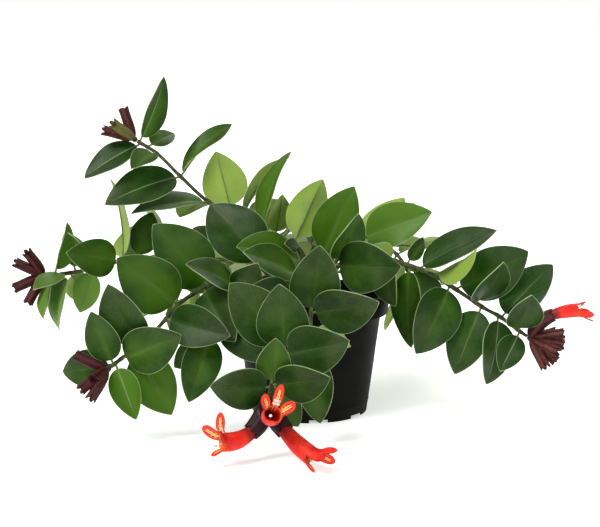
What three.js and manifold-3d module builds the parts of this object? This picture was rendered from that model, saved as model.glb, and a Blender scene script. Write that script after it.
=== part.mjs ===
// Potted lipstick plant: a trailing house plant in a plain nursery pot, with leathery leaves in
// pairs along arching shoots and bunches of tubular flowers at the shoot tips.
// Millimetres, +Z up. The origin is the centre of the pot's underside, where it stands.
import * as THREE from 'three';
import { mergeVertices } from 'three/addons/utils/BufferGeometryUtils.js';
import Module from 'manifold-3d';

const wasm = await Module();
wasm.setup();

// ---- Driving dimensions -------------------------------------------------------------------

const POT = {
  height: 90,
  baseRadius: 43.9,
  rimRadius: 60.2,
  rimDepth: 14, // height of the turned-down rim
  rimStep: 4.2, // how far the rim stands out from the wall
  rimTaper: 0.6, // how much narrower the rim's foot is than its top
  rimLip: 0.2, // how much thicker the rim is than the wall
  wall: 1.3,
  footRadius: 35, // of the flat middle of its underside
  footSlope: 1.5, // run of that middle's sloping edge
  channelHeight: 2.6, // of the drainage channel round that middle
  notchCount: 8, // through the wall's foot into the channel
  notchWidth: 14,
  notchDepth: 8,
  notchHeight: 2.4,
  notchTurn: 0.2, // of the first notch, in notch spacings from +X
  drainRadius: 2.2,
  drainTurn: 0.7,
  drainSides: 6,
  sides: 32,
};

const SOIL = {
  top: 79,
  crown: 3, // rise from the wall to the middle
  ringShares: [1, 0.7, 0.36], // radii of the surface's rings over its own
  gap: 0.3,
  roughness: 1.2,
  holeSides: 5,
};

const STEM = {
  footDepth: 20, // how far a stem stands in the soil
  neck: 12, // straight stretch above the soil
  footRadius: 2.3,
  tipRadius: 1.2,
  sides: 5,
  holeGap: 0.35,
};

const LEAF = {
  petiole: 4.5,
  petioleRadius: 0.9,
  thickness: 0.9,
  widthRatio: 0.67, // blade width over blade length
  bend: 22, // degrees the blade arches from base to tip
  fold: 12, // degrees each half rises from the midrib
  rows: [0.12, 0.42, 0.75], // places of the blade's cross-sections, from its base to its tip
  varied: { widthRatio: 0.05, bend: 8, fold: 4, twist: 6 }, // how much leaves differ, each way
  turnStep: 9, // degrees a leaf turns at a time to come clear of its neighbours
  turnSteps: 3,
  clearance: 1.3, // air kept round a blade, each side
  floorClearance: 1, // lowest that a leaf reaches
};

const PAIR = { // leaves that grow in crossed pairs by rule
  spread: 58, // degrees between leaf and stem
  spreadVaried: 8,
  sizeVaried: 0.08,
  level: { sideways: 1, upwards: 0.15 }, // heading of a pair that spreads level
  upright: { sideways: 0.55, upwards: 0.8 }, // and of one that spreads up and down
  faceLean: 0.7, // how far the upper faces turn away from the pot
  tipShrink: 0.3, // how much smaller the last leaves are
};

const CALYX = { length: 26, radius: 3.9, wall: 0.7, tooth: 2.2, cupDepth: 6 };
const OPEN_CALYX = { length: 26, radius: 6.8, wall: 0.8, tooth: 2.6, cupDepth: 16 };
const CALYX_FORM = {
  sides: 10, // two to a tooth
  footRadius: 0.9,
  shoulder: { along: 0.32, radius: 0.76 }, // shares of the length and of the radius
  middle: { along: 0.62, radius: 0.9 }, // likewise, a section that only a bent calyx has
  floorRadius: 0.66, // share of the mouth's inner radius
  toothSlope: 0.3, // how much lower a tooth's inner edge is
};
const COROLLA = {
  gap: 0.35, // between its foot and the calyx floor
  footRadius: 2.6,
  collarRadius: 4.9, // where it leaves the calyx
  throatRadius: 6.2,
  mouthFlare: 0.2, // how much wider the mouth is than the throat
  throatAt: 0.55, // share of the length at which the tube reaches the throat's radius
  cupDepth: 0.5, // share of the length that is open inside
  cupNarrowing: 0.6, // inner radius at that depth over the mouth's
  wall: 0.9,
  sides: 8,
  lobeRows: [ // along a lobe: share of its length, and its width there over its own
    { share: -0.12, wide: 0.7 },
    { share: 0, wide: 0.8 },
    { share: 0.5, wide: 1 },
    { share: 1, wide: 0.5 },
  ],
  lobes: [ // round the mouth from the side it bends to, and how far each flares, in degrees
    { round: 0, flare: 70, width: 6.4, length: 15.5 },
    { round: 62, flare: 42, width: 8, length: 13.5 },
    { round: -62, flare: 42, width: 8, length: 13.5 },
    { round: 180, flare: 32, width: 7.2, length: 7.5 },
  ],
};
const BUNCH = { // the short common stalk of a bunch
  gap: 0.3,
  knobRadius: 2.3,
  knobLength: 4.5,
  knobSides: 6,
  widestAt: 0.4, // shares of its length
  flowersAt: 0.55,
  endRadius: 0.7, // share of its radius
};

const COLOURS = {
  pot: new THREE.MeshStandardMaterial({ color: 0x1f1d1c, roughness: 0.55, metalness: 0 }),
  soil: new THREE.MeshStandardMaterial({ color: 0x2e2117, roughness: 0.95, metalness: 0 }),
  foliage: new THREE.MeshStandardMaterial({ color: 0x2f5a24, roughness: 0.42, metalness: 0 }),
  calyx: new THREE.MeshStandardMaterial({ color: 0x3d1015, roughness: 0.5, metalness: 0 }),
  corolla: new THREE.MeshStandardMaterial({ color: 0xe2281c, roughness: 0.5, metalness: 0 }),
};

// ---- Layout -------------------------------------------------------------------------------
// Each shoot stands in the soil at `hole` and runs through the points of `path`. A leaf grows
// from place `at` on the path, counted in its points: 2.5 is halfway from path[2] to path[3].
//   aim   degrees of the leaf's direction in the front view, 0 to +X and 90 to +Z
//   out   degrees it leans out of that view, towards the front (-Y)
//   roll  degrees its upper face turns from the front, right-handed about the leaf
//   size  node to tip
// `shape` changes the default width ratio, bend, fold or twist.
// A shoot with `pairs` grows crossed pairs by rule, from place pairs.from and pairs.spacing apart.
// A flower is [aim, out] for its calyx's foot. Where a corolla stands in it, `open` has:
//   turn    degrees about the calyx to the side that the flower bends to
//   curve   degrees the calyx bends over its length, and
//   bend    the corolla's tube over its own
//   length  of that tube outside the calyx
//   spread  of its lobes, over the flare that COROLLA gives them
//   girth   of calyx and corolla, over their usual sizes across

const leaf = (at, aim, out, roll, size, shape = {}) => ({ at, aim, out, roll, size, ...shape });
const flower = (aim, out, open = null) => ({ aim, out, open });
const opened = (turn, curve, bend, form = {}) =>
  ({ turn, curve, bend, length: 18, spread: 0.8, girth: 1, ...form });

const SHOOTS = [
  {
    name: 'upper_left',
    hole: [-2, 7],
    path: [
      [-4, 7, 116], [-17, 8, 128], [-35, 12, 135], [-57, 16, 148],
      [-76, 18, 156], [-97, 20, 175], [-114, 20, 192], [-129, 18, 202],
    ],
    leaves: [
      leaf(6.9, 70, -18, 48, 54, { widthRatio: 0.46, fold: 24 }),
      leaf(6.8, 211, 14, 50, 50, { widthRatio: 0.6 }),
      leaf(6.5, 25, -50, -35, 31),
      leaf(6.1, 212, 60, 40, 36, { fold: 26 }),
      leaf(5, 45, -22, -95, 58, { twist: 80, widthRatio: 0.4, fold: 20 }),
      leaf(5, 199, 21, 42, 62, { widthRatio: 0.6 }),
      leaf(4, 187, 18, 74, 60, { widthRatio: 0.6 }),
      leaf(4, 206, -40, 120, 44),
      leaf(3.1, 114, -14, 180, 47, { widthRatio: 0.84 }),
      leaf(2.7, 60, -30, -112, 62, { bend: 40, widthRatio: 0.4 }),
      leaf(2.4, 30, -50, 170, 42),
      leaf(2, 70, -5, -60, 63, { widthRatio: 0.42, fold: 24, bend: 36 }),
      leaf(1.5, 100, -50, 170, 36),
    ],
    bunch: [flower(160, 12), flower(111, 0), flower(136, 38)],
  },
  {
    name: 'left',
    hole: [-9, 18],
    path: [
      [-14, 20, 112], [-30, 23, 121], [-53, 25, 122], [-83, 22, 118], [-113, 15, 115],
      [-143, 8, 112], [-163, 5, 107], [-183, 0, 104], [-195, -5, 104],
    ],
    leaves: [
      leaf(7.6, 76, -8, 60, 40, { widthRatio: 0.6, fold: 30 }),
      leaf(6.6, 112, -20, 60, 38, { widthRatio: 0.5 }),
      leaf(5, 163, 36, 12, 46),
      leaf(6.2, 112, 20, 90, 34, { bend: 70, widthRatio: 0.3 }),
      leaf(4.9, 74, -55, 180, 42),
      leaf(4.6, 60, -30, 10, 40),
      leaf(4.9, 102, -18, 110, 62, { widthRatio: 0.5 }),
      leaf(4, 123, -38, 110, 50),
      leaf(7, 205, 40, 70, 38, { widthRatio: 0.5 }),
      leaf(7.7, 260, 45, 50, 36),
      leaf(7.1, 271, 35, 40, 46, { twist: 40 }),
      leaf(6.8, 291, -40, 150, 38),
      leaf(5.9, 244, -20, 20, 38),
    ],
    bunch: [flower(116, 25), flower(153, 22), flower(202, 22), flower(237, 18)],
  },
  {
    name: 'lower_left',
    hole: [-13, -7],
    path: [
      [-17, -11, 108], [-35, -25, 115], [-52, -38, 111], [-72, -53, 104], [-89, -65, 96],
      [-101, -72, 84], [-115, -80, 70], [-131, -88, 59], [-138, -92, 54],
    ],
    leaves: [
      leaf(3, 130, 8, 20, 60, { widthRatio: 0.76 }),
      leaf(1, 134, -25, 25, 62, { widthRatio: 0.76 }),
      leaf(4.3, 137, 20, 10, 58, { widthRatio: 0.76 }),
      leaf(6.3, 110, 20, -10, 54, { widthRatio: 0.68 }),
      leaf(5, -9, 26, -10, 52),
      leaf(7, 25, 16, 0, 49, { widthRatio: 0.78 }),
      leaf(7.7, 109, 14, 0, 43, { widthRatio: 0.62 }),
      leaf(7.6, 192, -15, 0, 40, { widthRatio: 0.8 }),
      leaf(7.5, -67, 20, 0, 42, { widthRatio: 0.58 }),
      leaf(6.4, -62, 4, 0, 53, { widthRatio: 0.72 }),
      leaf(3.2, -52, 32, 0, 52),
      leaf(2, 200, -20, 60, 44),
    ],
    bunch: [flower(157, 8), flower(190, 72), flower(212, 32), flower(243, 30)],
  },
  {
    name: 'front_left',
    hole: [-13, -18],
    path: [[-22, -28, 104], [-36, -44, 108], [-50, -60, 102], [-62, -72, 88], [-70, -80, 72]],
    leaves: [
      leaf(3.8, 251, 20, 0, 51, { widthRatio: 0.6 }),
      leaf(3, -77, 30, 0, 48),
      leaf(2, 170, 20, 50, 46),
      leaf(4, 215, 20, 30, 34),
      leaf(2, 60, 45, 0, 40),
    ],
  },
  {
    name: 'front',
    hole: [-4, -17],
    path: [
      [-6, -28, 106], [-9, -50, 106], [-12, -72, 96], [-15, -90, 83],
      [-17, -105, 68], [-24, -118, 54], [-28, -130, 42],
    ],
    leaves: [
      leaf(4, 94, 13, 0, 50, { widthRatio: 0.8 }),
      leaf(4.1, 18, 28, -10, 52, { widthRatio: 0.76 }),
      leaf(3.7, 131, 8, 10, 57, { widthRatio: 0.72 }),
      leaf(5.4, 85, 14, 0, 35, { widthRatio: 0.8 }),
      leaf(5.5, 183, 24, 0, 44, { widthRatio: 0.76 }),
      leaf(5.4, 25, 11, 0, 46, { widthRatio: 0.74 }),
      leaf(5.3, -62, -12, 0, 38),
      leaf(0.3, 158, 32, 55, 50),
      leaf(2, 165, 45, 20, 44),
      leaf(1, 30, 40, -30, 40),
    ],
    bunch: [
      flower(262, 8, opened(150, 50, 42, { length: 20, spread: 1 })),
      flower(272, 72, opened(72, 22, 34, { length: 14, spread: 0.7 })),
      flower(-64, 32, opened(57, 17, 13, { length: 25, spread: 0.4 })),
    ],
  },
  {
    name: 'front_right',
    hole: [3, -11],
    path: [
      [4, -24, 104], [4, -45, 109], [3, -64, 102], [1, -80, 90], [1, -88, 76], [2, -92, 65],
    ],
    leaves: [
      leaf(3, 83, 14, 0, 51, { widthRatio: 0.78 }),
      leaf(3, 23, 18, -10, 54, { widthRatio: 0.72 }),
      leaf(5, -84, 10, 15, 50, { widthRatio: 0.62 }),
      leaf(4, -25, -35, 170, 38),
    ],
  },
  {
    name: 'crown_left',
    hole: [-9, 1],
    path: [[-11, -1, 106], [-5, -8, 114], [-11, -4, 129]],
    leaves: [
      leaf(2, 65, -11, 180, 51),
      leaf(1, 155, 28, 62, 62, { widthRatio: 0.6 }),
      leaf(1.7, 165, 45, 30, 22),
    ],
  },
  {
    name: 'crown_right',
    hole: [7, -4],
    path: [[7, -7, 108], [9, -13, 119], [14, -26, 123], [19, -38, 117]],
    leaves: [
      leaf(1.2, 66, 7, -15, 57),
      leaf(2.8, 66, 23, 40, 45),
      leaf(3, 15, 34, -5, 55, { widthRatio: 0.76 }),
    ],
  },
  {
    name: 'crown_back',
    hole: [12, 5],
    path: [[14, 5, 110], [26, 6, 123], [40, 10, 130], [58, 15, 131]],
    leaves: [
      leaf(2, 23, 18, -25, 58),
      leaf(2.2, 40, -40, 150, 52),
      leaf(3, 60, -50, 150, 30),
      leaf(1, 30, -60, 150, 44),
    ],
  },
  {
    name: 'right',
    hole: [17, -5],
    path: [
      [22, -6, 111], [45, -12, 120], [74, -20, 113], [91, -25, 107], [103, -28, 100],
      [126, -32, 85], [139, -34, 78], [150, -36, 70], [159, -38, 64],
    ],
    leaves: [
      leaf(2.3, 27, 3, -64, 64, { widthRatio: 0.6 }),
      leaf(2, 258, 12, 55, 60, { widthRatio: 0.6 }),
      leaf(2.1, -85, -12, 0, 46),
      leaf(1.3, -74, 42, 40, 44),
      leaf(3, 51, 41, 110, 46, { fold: 28 }),
      leaf(4, 241, 21, 0, 57),
      leaf(4.2, 36, -5, 0, 60, { widthRatio: 0.72 }),
      leaf(4.8, 66, 36, 35, 47),
      leaf(5, 248, 10, 15, 53),
      leaf(5.9, 244, 4, -20, 51),
      leaf(6.1, 42, -20, -28, 57),
      leaf(7.3, 83, 42, 8, 43),
      leaf(7.4, 239, 25, 10, 34),
      leaf(1.6, 178, 30, 150, 32),
      leaf(1.9, 50, -10, 20, 24),
    ],
    bunch: [
      flower(75, -3, opened(180, 58, 14, { length: 17, spread: 0.3, girth: 0.8 })),
      flower(14, 14), flower(-8, 16), flower(-20, 40), flower(-40, 16), flower(-63, 32),
      flower(5, -35), flower(-35, -32),
    ],
  },
  {
    name: 'back_left',
    hole: [-16, 27],
    path: [
      [-24, 36, 110], [-36, 58, 118], [-52, 84, 112], [-64, 108, 94], [-72, 128, 68],
      [-76, 138, 44],
    ],
    pairs: { from: 0.5, spacing: 0.68, size: 50 },
    bunch: [flower(232, -32, opened(90, 8, 40)), flower(196, -50), flower(280, -42)],
  },
  {
    name: 'back',
    hole: [-1, 26],
    path: [[2, 38, 112], [8, 60, 119], [14, 88, 110], [20, 112, 88], [24, 128, 60]],
    pairs: { from: 0.4, spacing: 0.66, size: 52 },
  },
  {
    name: 'back_right',
    hole: [14, 19],
    path: [
      [22, 28, 110], [42, 48, 120], [62, 70, 114], [78, 92, 96], [88, 108, 70], [92, 118, 46],
    ],
    pairs: { from: 0.5, spacing: 0.68, size: 50 },
    bunch: [flower(-60, -30), flower(-40, -72, opened(90, 10, 35)), flower(250, -35)],
  },
  {
    name: 'left_low',
    hole: [-25, 9],
    path: [[-38, 22, 106], [-60, 42, 108], [-84, 62, 98], [-104, 80, 78], [-116, 92, 54]],
    pairs: { from: 0.7, spacing: 0.7, size: 48 },
  },
];

// ---- Small helpers ------------------------------------------------------------------------

const FRONT = new THREE.Vector3(0, -1, 0);
const UP = new THREE.Vector3(0, 0, 1);
const radians = THREE.MathUtils.degToRad;
const vec = (p) => new THREE.Vector3(p[0], p[1], p[2]);
const sum = (start, ...terms) =>
  terms.reduce((total, [v, k]) => total.addScaledVector(v, k), start.clone());

/** Seeded draws from -1 to 1, the same on every run. */
function seededDraws(seed) {
  let state = seed >>> 0;
  return () => {
    state = (Math.imul(state, 1664525) + 1013904223) >>> 0;
    return state / 2147483648 - 1;
  };
}

/** A unit vector across `direction`, as near to `hint` as it can be. */
function across(direction, hint) {
  return hint.clone().addScaledVector(direction, -hint.dot(direction)).normalize();
}

/** A direction from its angle in the front view and its lean towards the front. */
function aimed(aim, out) {
  const flat = Math.cos(radians(out));
  return new THREE.Vector3(
    Math.cos(radians(aim)) * flat,
    -Math.sin(radians(out)),
    Math.sin(radians(aim)) * flat,
  );
}

/**
 * A closed body through rings of equal length, each running anticlockwise about the way the
 * body goes. A quad in `crossed` is split along its other diagonal. Points that coincide are
 * merged, so that a ring may narrow to an edge.
 */
function loft(rings, crossed = []) {
  const corners = [];
  const push = (...points) => points.forEach((p) => corners.push(p.x, p.y, p.z));
  const count = rings[0].length;
  for (let k = 0; k + 1 < rings.length; k += 1) {
    for (let i = 0; i < count; i += 1) {
      const [a, b] = [rings[k][i], rings[k][(i + 1) % count]];
      const [d, c] = [rings[k + 1][i], rings[k + 1][(i + 1) % count]];
      if (crossed.includes(i)) push(a, b, d, b, c, d);
      else push(a, b, c, a, c, d);
    }
  }
  const last = rings[rings.length - 1];
  for (let i = 1; i + 1 < count; i += 1) {
    push(rings[0][0], rings[0][i + 1], rings[0][i]);
    push(last[0], last[i], last[i + 1]);
  }
  const loose = new THREE.BufferGeometry();
  loose.setAttribute('position', new THREE.Float32BufferAttribute(corners, 3));
  const merged = mergeVertices(loose, 1e-3);
  const kept = [];
  const index = merged.index.array;
  for (let i = 0; i < index.length; i += 3) {
    const [a, b, c] = [index[i], index[i + 1], index[i + 2]];
    if (a !== b && b !== c && c !== a) kept.push(a, b, c);
  }
  merged.setIndex(kept);
  return merged;
}

/** The manifold-3d solid of a closed geometry. */
function solidOf(geometry) {
  const bare = geometry.clone();
  bare.deleteAttribute('normal');
  bare.deleteAttribute('uv');
  const merged = mergeVertices(bare, 1e-3);
  const mesh = new wasm.Mesh({
    numProp: 3,
    vertProperties: new Float32Array(merged.attributes.position.array),
    triVerts: new Uint32Array(merged.index.array),
  });
  return new wasm.Manifold(mesh);
}

/** The three.js geometry of a manifold-3d solid. */
function geometryOf(solid) {
  const mesh = solid.getMesh();
  const geometry = new THREE.BufferGeometry();
  geometry.setAttribute('position', new THREE.BufferAttribute(mesh.vertProperties, 3));
  geometry.setIndex(new THREE.BufferAttribute(mesh.triVerts, 1));
  return geometry;
}

/** A ring of points about a centre, anticlockwise about u × v. */
function ringOf(centre, u, v, radius, sides, shift = () => 0, along = UP) {
  return Array.from({ length: sides }, (_, i) => {
    const angle = (i / sides) * 2 * Math.PI;
    return sum(centre, [u, radius * Math.cos(angle)], [v, radius * Math.sin(angle)],
      [along, shift(i)]);
  });
}

/** A solid with what is needed to see quickly whether another can touch it. */
function body(solid, shoot) {
  const { min, max } = solid.boundingBox();
  return { solid, shoot, box: new THREE.Box3(vec(min), vec(max)) };
}

const touches = (a, b) => a.box.intersectsBox(b.box) && !a.solid.intersect(b.solid).isEmpty();

// ---- Pot and soil -------------------------------------------------------------------------

/** Radius of the pot wall's outside at height z. */
function wallRadius(z) {
  const underRim = POT.rimRadius - POT.rimStep;
  return THREE.MathUtils.lerp(POT.baseRadius, underRim, z / (POT.height - POT.wall));
}

/** A thin tapered pot with a turned-down rim, and a drainage channel round its flat foot. */
function potGeometry() {
  const { height, wall, rimRadius, baseRadius, footRadius, channelHeight } = POT;
  const rimFoot = height - POT.rimDepth;
  const rimInner = rimRadius - wall - POT.rimLip;
  const channelTop = channelHeight + wall;
  const profile = [
    [0, 0],
    [footRadius, 0],
    [footRadius + POT.footSlope, channelHeight],
    [baseRadius - wall, channelHeight],
    [baseRadius - wall, 0],
    [baseRadius, 0],
    [wallRadius(height - wall), height - wall],
    [rimInner, height - wall],
    [rimInner - POT.rimTaper, rimFoot],
    [rimRadius - POT.rimTaper, rimFoot],
    [rimRadius, height],
    [wallRadius(height) - wall, height],
    [wallRadius(channelTop) - wall, channelTop],
    [0, channelTop],
  ].map(([r, z]) => new THREE.Vector2(r, z));
  const lathe = new THREE.LatheGeometry(profile, POT.sides);
  lathe.rotateX(Math.PI / 2); // the lathe turns about +Y
  let pot = solidOf(lathe);
  const channelMiddle = (footRadius + baseRadius) / 2;
  const notch = new THREE.BoxGeometry(POT.notchDepth, POT.notchWidth, 2 * POT.notchHeight);
  const drain = new THREE.CylinderGeometry(
    POT.drainRadius, POT.drainRadius, 4 * channelTop, POT.drainSides);
  drain.rotateX(Math.PI / 2);
  for (let i = 0; i < POT.notchCount; i += 1) {
    const cutAt = (shape, radius, turn) => {
      const angle = ((i + turn) / POT.notchCount) * 2 * Math.PI;
      return solidOf(shape.clone().translate(radius, 0, 0).rotateZ(angle));
    };
    pot = pot.subtract(cutAt(notch, baseRadius, POT.notchTurn))
      .subtract(cutAt(drain, channelMiddle, POT.drainTurn));
  }
  return geometryOf(pot);
}

/** Potting soil that fills the pot, with a low rough crown and a hole for each stem. */
function soilGeometry() {
  const draw = seededDraws(7);
  const floor = POT.channelHeight + POT.wall + SOIL.gap;
  const radiusAt = (z) => wallRadius(z) - POT.wall - SOIL.gap;
  const top = SOIL.ringShares.map((share) => ({
    radius: radiusAt(SOIL.top) * share,
    z: SOIL.top + SOIL.crown * (1 - share),
  }));
  const [X, Y] = [new THREE.Vector3(1, 0, 0), new THREE.Vector3(0, 1, 0)];
  const level = (radius, z, rough) =>
    ringOf(new THREE.Vector3(0, 0, z), X, Y, radius, POT.sides, () => rough * draw());
  const rings = [level(radiusAt(floor), floor, 0)];
  top.forEach(({ radius, z }, i) => rings.push(level(radius, z, i ? SOIL.roughness : 0)));
  let soil = solidOf(loft(rings));
  const holeDepth = SOIL.top - STEM.footDepth - STEM.holeGap;
  const holeRadius = (STEM.footRadius + STEM.holeGap) / Math.cos(Math.PI / SOIL.holeSides);
  for (const { hole } of SHOOTS) {
    const at = new THREE.Vector3(hole[0], hole[1], 0);
    const [low, high] = [holeDepth, SOIL.top + STEM.footDepth].map((z) =>
      ringOf(at.clone().setZ(z), X, Y, holeRadius, SOIL.holeSides));
    soil = soil.subtract(solidOf(loft([low, high])));
  }
  return geometryOf(soil);
}

// ---- Stems --------------------------------------------------------------------------------

const FOOT_POINTS = 3; // path points that stand in and just above the soil

/** The centre line of a shoot, with its straight foot in the soil. */
function centreLine({ hole, path }) {
  const foot = [SOIL.top - STEM.footDepth, SOIL.top + 2, SOIL.top + STEM.neck];
  const points = [...foot.map((z) => [hole[0], hole[1], z]), ...path].map(vec);
  return new THREE.CatmullRomCurve3(points, false, 'catmullrom', 0.5);
}

/** Curve parameter of place `at`, which counts from the first point of the shoot's path. */
const parameter = (curve, at) => (at + FOOT_POINTS) / (curve.points.length - 1);

/** A tapered stem along its centre line. */
function stemGeometry(curve) {
  const last = curve.points.length - 1;
  const rings = [];
  let u = new THREE.Vector3(1, 0, 0);
  // The first stretch stands straight in the soil and takes one step; the others take two.
  for (let place = 0; place <= last; place += place === 0 ? 1 : 0.5) {
    const t = place / last;
    const tangent = curve.getTangent(t);
    u = across(tangent, u);
    const v = tangent.clone().cross(u);
    const radius = THREE.MathUtils.lerp(STEM.footRadius, STEM.tipRadius, t);
    rings.push(ringOf(curve.getPoint(t), u, v, radius, STEM.sides));
  }
  return loft(rings);
}

// ---- Leaves -------------------------------------------------------------------------------

/** Half-width of a blade over its greatest, at share b from its base to its tip. */
const bladeOutline = (b) => (b ** 0.55 * (1 - b) ** 0.85) / 0.3915;

/**
 * A leaf that grows from `base` towards `direction`, with its upper face towards `face`.
 * The petiole starts on the stem's centre line; the blade arches, folds and twists.
 */
function leafGeometry(base, direction, face, form, puff = 0, start = 0) {
  const bend = Math.max(radians(form.bend), 0.02);
  const fold = radians(form.fold);
  const side = face.clone().cross(direction);
  const radius = form.size / (2 * Math.sin(bend / 2));
  const petiole = LEAF.petiole / form.size;
  const halfWidth = (form.widthRatio * (form.size - LEAF.petiole)) / 2;

  const row = (q, wide, thick) => {
    const lean = bend / 2 - bend * q;
    const centre = sum(base,
      [direction, radius * (Math.sin(bend / 2) - Math.sin(lean))],
      [face, radius * (Math.cos(lean) - Math.cos(bend / 2))]);
    const normal = face.clone().multiplyScalar(Math.cos(lean))
      .addScaledVector(direction, -Math.sin(lean));
    const twist = radians(form.twist) * q;
    const b = side.clone().multiplyScalar(Math.cos(twist)).addScaledVector(normal, Math.sin(twist));
    const m = normal.clone().multiplyScalar(Math.cos(twist)).addScaledVector(side, -Math.sin(twist));
    const at = (v, t) => sum(centre,
      [b, v * wide * Math.cos(fold)],
      [m, Math.abs(v) * wide * Math.sin(fold) + t * thick]);
    return { at };
  };

  const rod = (q) => {
    const { at } = row(q, LEAF.petioleRadius + puff, LEAF.petioleRadius + puff);
    const [left, top, right] = [at(0.9, -0.6), at(0, 1), at(-0.9, -0.6)];
    return [left, top, right, right, right, left];
  };
  const blade = (b) => {
    const q = petiole + (1 - petiole) * b;
    const { at } = row(q, halfWidth * bladeOutline(b) + puff, LEAF.thickness / 2 + puff);
    return [at(1, 1), at(0, 1), at(-1, 1), at(-1, -1), at(0, -1), at(1, -1)];
  };
  const tip = () => {
    const { at } = row(1, 0, LEAF.thickness / 2 + puff);
    return [at(0, 1), at(0, 1), at(0, 1), at(0, -1), at(0, -1), at(0, -1)];
  };
  const rings = start > 0 ? [] : [rod(0), rod(petiole)];
  rings.push(...LEAF.rows.map(blade), tip());
  return loft(rings, [3, 4]);
}

/** The leaf's own proportions: the defaults, a seeded variation, and what its row states. */
function leafForm(row, draw) {
  const varied = {
    widthRatio: LEAF.widthRatio + LEAF.varied.widthRatio * draw(),
    bend: LEAF.bend + LEAF.varied.bend * draw(),
    fold: LEAF.fold + LEAF.varied.fold * draw(),
    twist: LEAF.varied.twist * draw(),
  };
  return { ...varied, ...row };
}

/** Direction and upper face of a leaf whose row gives aim, out and roll. */
function statedPose(row) {
  const direction = aimed(row.aim, row.out);
  const face = across(direction, FRONT).applyAxisAngle(direction, radians(row.roll));
  return { direction, face };
}

/** Crossed pairs along a shoot: every second pair stands a quarter turn round the stem. */
function pairedLeaves(curve, { from, spacing, size }, draw) {
  const rows = [];
  const last = curve.points.length - 1 - FOOT_POINTS;
  for (let at = from, pair = 0; at <= last; at += spacing, pair += 1) {
    const tangent = curve.getTangent(parameter(curve, at));
    const side = tangent.clone().cross(UP).normalize();
    const lift = side.clone().cross(tangent);
    const upright = pair % 2 === 1;
    const { sideways, upwards } = upright ? PAIR.upright : PAIR.level;
    for (const hand of [1, -1]) {
      const spread = radians(PAIR.spread + PAIR.spreadVaried * draw());
      const outwards = sum(new THREE.Vector3(),
        [side, sideways * hand], [lift, upright ? upwards * hand : upwards]).normalize();
      const direction = sum(new THREE.Vector3(),
        [tangent, Math.cos(spread)], [outwards, Math.sin(spread)]).normalize();
      const outside = new THREE.Vector3(tangent.x, tangent.y, 0);
      const face = across(direction, sum(UP, [outside, PAIR.faceLean]));
      const young = 1 - PAIR.tipShrink * (at / last) ** 3;
      rows.push({ at, size: size * young * (1 + PAIR.sizeVaried * draw()), direction, face });
    }
  }
  return rows;
}

/** Small turns a leaf may make about its node, the smallest first. */
function leafTurns() {
  const turns = [];
  const n = LEAF.turnSteps;
  for (let swing = -n; swing <= n; swing += 1) {
    for (let sway = -n; sway <= n; sway += 1) {
      for (const roll of [0, -1, 1, -2, 2]) turns.push([swing, sway, roll]);
    }
  }
  const cost = ([swing, sway, roll]) => swing * swing + sway * sway + 0.6 * roll * roll;
  return turns.sort((a, b) => cost(a) - cost(b));
}

/** The leaf's pose after a turn: swing about its side, sway about its face, roll about itself. */
function turned({ direction, face }, [swing, sway, roll]) {
  const step = radians(LEAF.turnStep);
  const side = face.clone().cross(direction).normalize();
  const d = direction.clone().applyAxisAngle(side, swing * step).applyAxisAngle(face, sway * step);
  const f = across(d, face.clone().applyAxisAngle(side, swing * step));
  return { direction: d, face: f.applyAxisAngle(d, roll * step) };
}

/** Grows one leaf clear of every body so far, or returns null where there is no room for it. */
function growLeaf(row, pose, curve, shoot, form, bodies, turns) {
  const base = curve.getPoint(parameter(curve, row.at));
  for (const turn of turns) {
    const { direction, face } = turned(pose, turn);
    const build = (puff, start) => solidOf(leafGeometry(base, direction, face, form, puff, start));
    const whole = body(build(LEAF.clearance, 0), shoot);
    const near = bodies.filter((other) => other.box.intersectsBox(whole.box));
    if (whole.box.min.z < LEAF.floorClearance) continue;
    if (near.some((other) => other.shoot !== shoot && touches(whole, other))) continue;
    const blade = body(build(LEAF.clearance, 1), shoot);
    if (near.some((other) => other.shoot === shoot && touches(blade, other))) continue;
    return body(build(0, 0), shoot);
  }
  return null;
}

// ---- Flowers ------------------------------------------------------------------------------

/** Two unit vectors across `direction`, the first as near to `hint` as it can be. */
function crossAxes(direction, hint) {
  const u = across(direction, hint);
  return [u, direction.clone().cross(u)];
}

/**
 * The centre line of a flower, which bends through its calyx and on through its corolla's tube.
 * Returns a function that gives, at a length from the calyx's foot, the centre, the heading
 * `onwards`, and the axes across it: u and v, and `lip` towards the side it bends to.
 */
function flowerLine(start, direction, { turn = 90, curve = 0, bend = 0, length = 1 }) {
  const [u, v] = crossAxes(direction, Math.abs(direction.z) > 0.9 ? FRONT : UP);
  const lip = u.clone().applyAxisAngle(direction, radians(turn - 90));
  const hinge = direction.clone().cross(lip);
  const arc = (centre, from, angle, span, along) => {
    const radius = span / radians(angle);
    const bent = radians(angle) * (along / span);
    const heading = direction.clone().applyAxisAngle(hinge, from);
    if (!angle) return { centre: sum(centre, [heading, along]), bent: from };
    const aside = lip.clone().applyAxisAngle(hinge, from);
    return {
      centre: sum(centre, [heading, radius * Math.sin(bent)], [aside, radius * (1 - Math.cos(bent))]),
      bent: from + bent,
    };
  };
  const calyx = OPEN_CALYX.length;
  const collar = arc(start, 0, curve, calyx, calyx);
  return (along) => {
    const { centre, bent } = along > calyx
      ? arc(collar.centre, collar.bent, bend, length, along - calyx)
      : arc(start, 0, curve, calyx, along);
    const [onwards, ...axes] = [direction, u, v, lip]
      .map((axis) => axis.clone().applyAxisAngle(hinge, bent));
    return { centre, onwards, u: axes[0], v: axes[1], lip: axes[2] };
  };
}

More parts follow.
